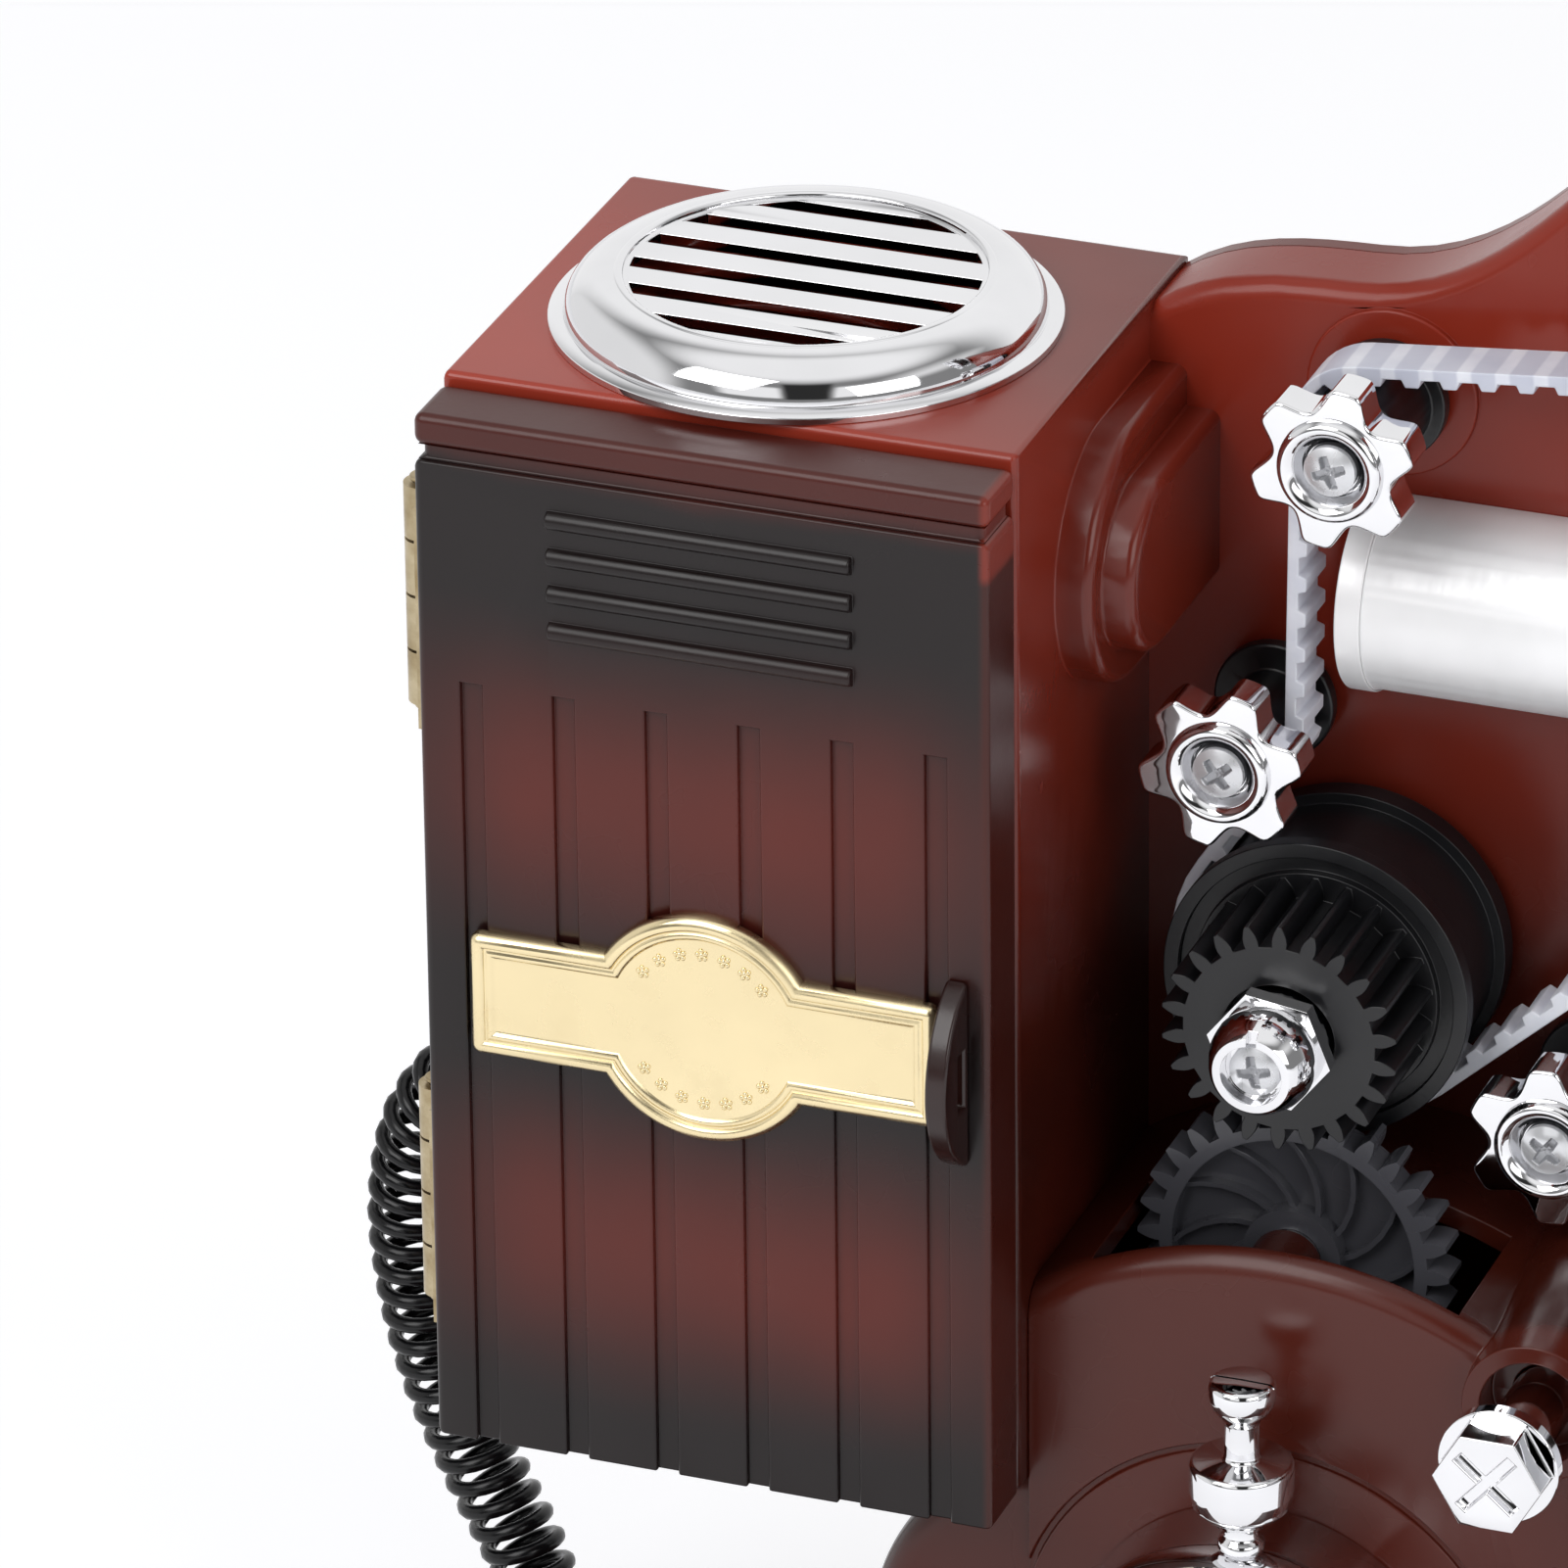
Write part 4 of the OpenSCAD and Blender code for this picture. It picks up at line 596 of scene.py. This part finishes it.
def make_screws():
    bm = bmesh.new()
    rings, segs = HEAD_RINGS, HEAD_SEGS
    for x, y, z, turn in SCREWS:
        def ring(r, depth):
            out = []
            for i in range(segs):
                a = 2 * math.pi * i / segs
                d = depth if depth is not None else head_depth(r, a, math.radians(turn))
                place = (x + r * math.cos(a), y + d, z + r * math.sin(a))
                out.append(bm.verts.new(Vector(place) * MM))
            return out

        loops = [ring(HEAD_R * k / rings, None) for k in range(1, rings + 1)]
        loops += [ring(HEAD_R, HEAD_T), ring(SHANK_R, HEAD_T), ring(SHANK_R, SHANK_END)]
        tip = bm.verts.new((x * MM, (y + head_depth(0, 0, 0)) * MM, z * MM))
        for i in range(segs):
            bm.faces.new((tip, loops[0][i], loops[0][(i + 1) % segs]))
        for a, b in zip(loops, loops[1:]):
            for i in range(segs):
                j = (i + 1) % segs
                bm.faces.new((a[i], a[j], b[j], b[i]))
        bm.faces.new(loops[-1])
    bmesh.ops.recalc_face_normals(bm, faces=bm.faces)
    # Faces sunk in the cross take the darker metal, as painted shade.
    sunk = []
    for f in bm.faces:
        mid = f.calc_center_median() / MM
        x, y, z, turn = min(SCREWS, key=lambda c: math.hypot(mid.x - c[0], mid.z - c[2]))
        r = math.hypot(mid.x - x, mid.z - z)
        sunk.append(int(r < ARM_L + 0.2 and mid.y - y - HEAD_RISE * (r / HEAD_R) ** 2 > 0.1))
    me = bpy.data.meshes.new("domed_screws")
    bm.to_mesh(me)
    bm.free()
    smooth(me, 35)
    ob = link("domed_screws", me, SCREW)
    me.materials.append(RECESS_SHADE.m)
    me.polygons.foreach_set("material_index", sunk)
    add(ob, "chassis", "cross_screws", slot="steel")


make_screws()

# Chrome stars: the part's outline with softened corners, a ring and a bowl for the screw
STAR_R, STAR_ROOT, STAR_TIP, STAR_T, STAR_EDGE = 8.3, 6.0, 10.0, 4.6, 0.36
STAR_TURNS = (20, 14, 34, 8, 40)
STAR_BORE, STAR_BACK, STAR_POINTS = 1.7, 0.3, 240
STAR_BOWL = [(STAR_BORE, 0.7), (2.65, 0.7), (2.75, 0.52), (3.05, 0.27), (3.3, -0.02), (3.48, -0.33),
             (3.66, -0.62), (3.95, -0.9), (4.2, -1.03), (4.45, -1.1), (4.75, -1.03), (4.98, -0.86),
             (5.15, -0.58), (5.24, -0.3), (5.3, 0.0)]
# Turns, in degrees, and weights that the outline is averaged over to soften its corners.
STAR_BLUR = ((-3, 1), (-1.5, 2), (0, 2), (1.5, 2), (3, 1))


def star_rad(a):
    d = abs(a - 60 * round(a / 60))
    if d <= STAR_TIP:
        return STAR_R
    return STAR_ROOT + (STAR_R - STAR_ROOT) * ((30 - d) / (30 - STAR_TIP)) ** 2


def make_star(i, x, z, turn):
    n = STAR_POINTS
    angles = [360 * k / n for k in range(n)]
    rad = [sum(star_rad(a + q) * w for q, w in STAR_BLUR) / sum(w for _, w in STAR_BLUR) for a in angles]
    out = [Vector((r * math.cos(math.radians(a + turn)), r * math.sin(math.radians(a + turn))))
           for a, r in zip(angles, rad)]
    side = []
    for k in range(n):
        t = out[(k + 1) % n] - out[k - 1]
        side.append(Vector((t.y, -t.x)).normalized())
    bm = bmesh.new()

    def ring(points, depth):
        y = (STAR_Y + depth) * MM
        return [bm.verts.new(((x + p[0]) * MM, y, (z + p[1]) * MM)) for p in points]

    def circle(r):
        return [(r * math.cos(math.radians(a + turn)), r * math.sin(math.radians(a + turn))) for a in angles]

    loops = [ring(circle(r), d) for r, d in STAR_BOWL]
    for w in range(0, 91, 15):
        c, q = math.cos(math.radians(w)), math.sin(math.radians(w))
        loops.append(ring([p - STAR_EDGE * (1 - q) * m for p, m in zip(out, side)], STAR_EDGE * (1 - c)))
    loops.append(ring(out, STAR_T - STAR_BACK))
    loops.append(ring([p - STAR_BACK * m for p, m in zip(out, side)], STAR_T))
    loops.append(ring(circle(STAR_BORE), STAR_T))
    for a, b in zip(loops, loops[1:] + loops[:1]):
        for k in range(n):
            j = (k + 1) % n
            bm.faces.new((a[k], a[j], b[j], b[k]))
    bmesh.ops.recalc_face_normals(bm, faces=bm.faces)
    me = bpy.data.meshes.new(f"star_form_{i}")
    bm.to_mesh(me)
    bm.free()
    smooth(me, 40)
    add(link(f"star_form_{i}", me, CHROME), BODY_OF[f"star_{i}"], f"star_{i}", slot="chrome")


for i, ((x, _, z, _), turn) in enumerate(zip(SCREWS, STAR_TURNS), 1):
    make_star(i, x, z, turn)

# Turned chrome: the oil cup with its screw slot, and the bead round the vent's bars
CUP_AT = (-7.2, -14.9, 83.56)
CUP_FORM = [(0, -0.6), (2.3, -0.6), (2.3, 0.45), (2.15, 0.7), (1.8, 0.95), (1.7, 1.2), (1.7, 2.3), (1.85, 2.6),
            (3.4, 3.1), (4.75, 4.5), (4.85, 4.7), (4.9, 6.0), (5.1, 6.05), (5.1, 8.6), (5.05, 8.9), (4.9, 9.12),
            (4.65, 9.25), (2.0, 9.5), (1.8, 9.7), (1.75, 10.1), (1.75, 13.3), (1.85, 13.75), (2.3, 14.3),
            (2.85, 14.95), (3.2, 15.7), (3.3, 16.4), (3.3, 17.2), (3.22, 17.6), (3.0, 17.85), (2.7, 17.95),
            (0, 18.0)]
SLOT_HALF, SLOT_WALL, SLOT_FLOOR = 0.14, 0.02, 17.55
BEAD_AT = (-61.5, 13.6, 197.8)
BEAD_R, BEAD_HALF, BEAD_RISE = 18.0, 0.5, 0.3
BEAD_TOP = [(BEAD_R - BEAD_HALF * math.cos(math.radians(w)), BEAD_RISE * math.sin(math.radians(w)))
            for w in range(0, 181, 20)]
BEAD_FORM = [(17.45, -0.4)] + BEAD_TOP + [(18.55, -0.4)]


def lathe(at, form, n=96):
    """Mesh data of a form turned round the vertical axis."""
    bm = bmesh.new()
    turns = [2 * math.pi * k / n for k in range(n)]
    loops = []
    for r, h in form:
        around = turns if r > 0 else turns[:1]
        z = (at[2] + h) * MM
        loops.append([bm.verts.new(((at[0] + r * math.cos(a)) * MM, (at[1] + r * math.sin(a)) * MM, z))
                      for a in around])
    for a, b in zip(loops, loops[1:]):
        for k in range(n):
            j = (k + 1) % n
            corners = [a[k % len(a)], a[j % len(a)], b[j % len(b)], b[k % len(b)]]
            bm.faces.new(list(dict.fromkeys(corners)))
    return bm


def turned_piece(name, bm, node=None):
    bmesh.ops.recalc_face_normals(bm, faces=bm.faces)
    me = bpy.data.meshes.new(name)
    bm.to_mesh(me)
    bm.free()
    smooth(me, 40)
    add(link(name, me, CHROME), "chassis", *([node] if node else []), slot="chrome")


def make_oil_cup():
    bm = lathe(CUP_AT, CUP_FORM)
    for off in (SLOT_HALF, SLOT_HALF - SLOT_WALL, SLOT_WALL - SLOT_HALF, -SLOT_HALF):
        bmesh.ops.bisect_plane(bm, geom=bm.verts[:] + bm.edges[:] + bm.faces[:], dist=1e-7,
                               plane_co=(0, (CUP_AT[1] + off) * MM, 0), plane_no=(0, 1, 0))
    floor = (CUP_AT[2] + SLOT_FLOOR) * MM
    for v in bm.verts:
        if abs(v.co.y / MM - CUP_AT[1]) < SLOT_HALF - SLOT_WALL / 2 and v.co.z > floor:
            v.co.z = floor
    turned_piece("turned_oil_cup", bm, "oil_cup")


def make_bead():
    bm = lathe(BEAD_AT, BEAD_FORM + BEAD_FORM[:1])
    bmesh.ops.remove_doubles(bm, verts=bm.verts, dist=1e-7)
    turned_piece("vent_bead", bm)


make_oil_cup()
make_bead()

# CAD pieces with rounded edges. Each hole of the frame has its place and its radius.
FRAME_HOLES = [(-7.1, 187.0, 8.6), (-18.1, 153.4, 1.6), (15.4, 118.5, 1.6), (30.9, 190.4, 3.7),
               (30.9, 153.8, 3.7), (64.5, 250.1, 4.1), (64.5, 101.1, 4.1), (-9.3, 129.9, 2.6),
               (-9.3, 103.9, 3.1), (-7.2, 63.96, 3.1), (10.29, 35.97, 1.6)]


def frame_share(a, b):
    """Full along the front outline, none beside the lamp house, small at the holes."""
    if max(abs(a.x - LAMP_X1), abs(b.x - LAMP_X1)) < 0.05:
        return 0.0
    if max(abs(a.y - PLATE_Y), abs(b.y - PLATE_Y)) < 0.05:
        if all(math.hypot(a.x - x, a.z - z) > r + 0.4 for x, z, r in FRAME_HOLES):
            return 1.0 if min(a.z, b.z) > ZB + 1 else 0.0
    return 0.12


def door_share(a, b):
    """Round along the cornice and the outer edges, small at the strips."""
    if min(a.z, b.z) > LAMP_Z1 - 6:
        return 1.0
    if max(a.x, b.x) < LAMP_X0 + 0.1 or min(a.x, b.x) > LAMP_X1 - 0.1:
        return 0.7
    return 0.3


def lamp_share(a, b):
    """Wider along the boss's steps, none where the boss meets the frame."""
    if min(a.y, b.y) > PLATE_Y - 0.05 and min(a.x, b.x) > LAMP_X1 - 0.05:
        return 0.0
    for plane in (LAMP_X1 + 3.8, LAMP_X1 + 7.2):
        if max(abs(a.x - plane), abs(b.x - plane)) < 0.05:
            return 0.65
    return 0.4


refine("frame_plate", FRAME, 2.0, 5, share=frame_share)
refine("lamp_house", LAMP, 1.7, 5, share=lamp_share)
refine("door", DOOR, 0.9, 4, share=door_share)
for node, mat, width in (
        ("base_plinth", BASE, 1.2), ("base_cover", BLACK, 0.3), ("rubber_feet", RUBBER, 0.6),
        ("housing_shell", HOUSE, 0.5), ("lamp_stand", HOUSE, 0.4), ("bearing_cap", CHROME, 0.4),
        ("tie_bolt", CHROME, 0.35), ("rear_cover", RED, 0.5),
        ("case_screws", STEEL, 0.2), ("vent_grille", CHROME, 0.2),
        ("hinge_fixed_leaves", BRASS, 0.2), ("hinge_pins", BRASS, 0.2),
        ("door_handle", BROWN, 0.5), ("hinge_door_leaves", BRASS, 0.2),
        ("lens_barrel", SATIN, 0.25), ("lens_nose", SATIN, 0.25), ("lens_glass", GLASS, 0.15),
        ("drum_gear", BLACK, 0.15), ("drum_nut", CHROME, 0.3), ("idler_gear", LIT_GEAR, 0.15),
        ("fixed_axles", STEEL, 0.15), ("film_belt", BELT, 0.15),
        ("upper_reel_belt", RUBBER, 0.2), ("lower_reel_belt", RUBBER, 0.2),
        ("upper_reel", REEL, 0.4), ("lower_reel", REEL, 0.4), ("reel_nuts", CHROME, 0.25),
        ("crank_shaft", STEEL, 0.2), ("crank_gear", BRASS, 0.12), ("crank_arm", CHROME, 0.7),
        ("crank_nut", CHROME, 0.3), ("crank_pin", STEEL, 0.25), ("crank_grip", BROWN, 0.4),
        ("movement_bed", BRASS, 0.2), ("movement_comb", STEEL, 0.04), ("pin_cylinder", BRASS, 0.05),
        ("cylinder_pinion", STEEL, 0.12), ("cord_gland_lamp", BLACK, 0.3), ("cord_gland_base", BLACK, 0.3)):
    refine(node, mat, width)
for i in range(1, 6):
    refine(f"pulley_{i}", BLACK, 0.3)
for node, centre in (("upper_film", (64.5, ZB + 227)), ("lower_film", (64.5, ZB + 78))):
    refine(node, film_material(centre), 0.1)


# Floor, light and world
FLOOR_HALF, FLOOR_GLOW = 3.0, 0.3


def make_floor():
    me = bpy.data.meshes.new("floor")
    s = FLOOR_HALF
    me.from_pydata([(-s, -s, 0), (s, -s, 0), (s, s, 0), (-s, s, 0)], [], [(0, 1, 2, 3)])
    k = Mat("floor", srgb(246, 246, 248), 0.9)
    k.set("Base Color", k.mix(k.noise(3, 2), srgb(246, 246, 248), srgb(240, 241, 245)))
    path = k.node("LightPath")
    seen = k.math("MAXIMUM", k.math("MAXIMUM", path.outputs["Is Camera Ray"], path.outputs["Is Glossy Ray"]),
                  path.outputs["Is Transmission Ray"])
    k.b.inputs["Emission Color"].default_value = (1, 1, 1, 1)
    k.set("Emission Strength", k.math("MULTIPLY", seen, FLOOR_GLOW))
    ob = link("floor", me, k)


def area_light(name, place, aim, size, watts):
    li = bpy.data.lights.new(name, "AREA")
    li.shape = "RECTANGLE"
    li.size, li.size_y = size
    li.energy = watts
    ob = bpy.data.objects.new(name, li)
    bpy.context.collection.objects.link(ob)
    ob.location = place
    ob.rotation_euler = (Vector(aim) - Vector(place)).to_track_quat("-Z", "Y").to_euler()


# The way to the front of the studio, level, and the strengths of the soft light and of the room in mirrors.
FRONT = (0.358, -0.934)
SOFT_LEVEL, ROOM_LEVEL = 0.55, 0.25


def make_world():
    """Even soft light. Mirrors see bright panels above, beside, behind and in front, with a dark gap there."""
    w = bpy.data.worlds.new("studio")
    bpy.context.scene.world = w
    w.use_nodes = True
    t = w.node_tree
    t.nodes.clear()

    def node(kind, **inputs):
        n = t.nodes.new("ShaderNode" + kind)
        for k, v in inputs.items():
            key = int(k[1:]) if k[0] == "i" and k[1:].isdigit() else k
            if hasattr(v, "is_output"):
                t.links.new(v, n.inputs[key])
            else:
                n.inputs[key].default_value = v
        return n

    def math_node(op, a, b):
        n = node("Math", i0=a, i1=b)
        n.operation = op
        return n.outputs[0]

    def panel(v, a, b, bright):
        n = node("MapRange", i0=v, i1=a, i2=b, i3=0.0, i4=bright)
        n.interpolation_type = "SMOOTHSTEP"
        return n.outputs[0]

    xyz = node("SeparateXYZ", i0=node("TexCoord").outputs["Generated"]).outputs
    ahead = math_node("ADD", math_node("MULTIPLY", xyz[0], FRONT[0]), math_node("MULTIPLY", xyz[1], FRONT[1]))
    across = math_node("ADD", math_node("MULTIPLY", xyz[0], -FRONT[1]), math_node("MULTIPLY", xyz[1], FRONT[0]))
    aside = math_node("ABSOLUTE", across, 0.0)
    glow = panel(xyz[2], 0.72, 0.93, 0.75)
    for parts in (((xyz[0], -0.55, -0.8, 0.6),), ((xyz[0], 0.6, 0.85, 0.6), (xyz[2], 0.36, 0.6, 1.0)),
                  ((xyz[1], 0.35, 0.75, 0.75),),
                  ((ahead, 0.2, 0.35, 0.75), (aside, 0.17, 0.24, 1.0), (aside, 0.7, 0.58, 1.0),
                   (xyz[2], 0.08, 0.16, 1.0), (xyz[2], 0.66, 0.56, 1.0))):
        lit = panel(*parts[0])
        for p in parts[1:]:
            lit = math_node("MULTIPLY", lit, panel(*p))
        glow = math_node("MAXIMUM", glow, lit)
    gap = panel(ahead, 0.3, 0.45, 0.22)
    for v, a, b in ((aside, 0.2, 0.14), (xyz[2], 0.02, 0.1), (xyz[2], 0.8, 0.7)):
        gap = math_node("MULTIPLY", gap, panel(v, a, b, 1.0))
    mirror = math_node("ADD", glow, math_node("SUBTRACT", ROOM_LEVEL, gap))
    path = node("LightPath").outputs
    plain = math_node("MAXIMUM", path["Is Camera Ray"], path["Is Transmission Ray"])
    soft = node("Background", i0=(1, 1, 1, 1), i1=SOFT_LEVEL)
    room = node("Background", i0=(1, 1, 1, 1), i1=mirror)
    white = node("Background", i0=(1, 1, 1, 1), i1=1.0)
    lit = node("MixShader", i0=path["Is Glossy Ray"], i1=soft.outputs[0], i2=room.outputs[0])
    seen = node("MixShader", i0=plain, i1=lit.outputs[0], i2=white.outputs[0])
    node("OutputWorld", i0=seen.outputs[0])


make_floor()
make_world()
area_light("key", (-0.55, -0.95, 1.15), (-0.03, 0, 0.14), (0.9, 0.9), 10.0)
area_light("fill", (1.1, -0.7, 0.7), (0, 0, 0.13), (0.8, 0.8), 4.0)
bpy.context.scene.view_settings.view_transform = "Standard"
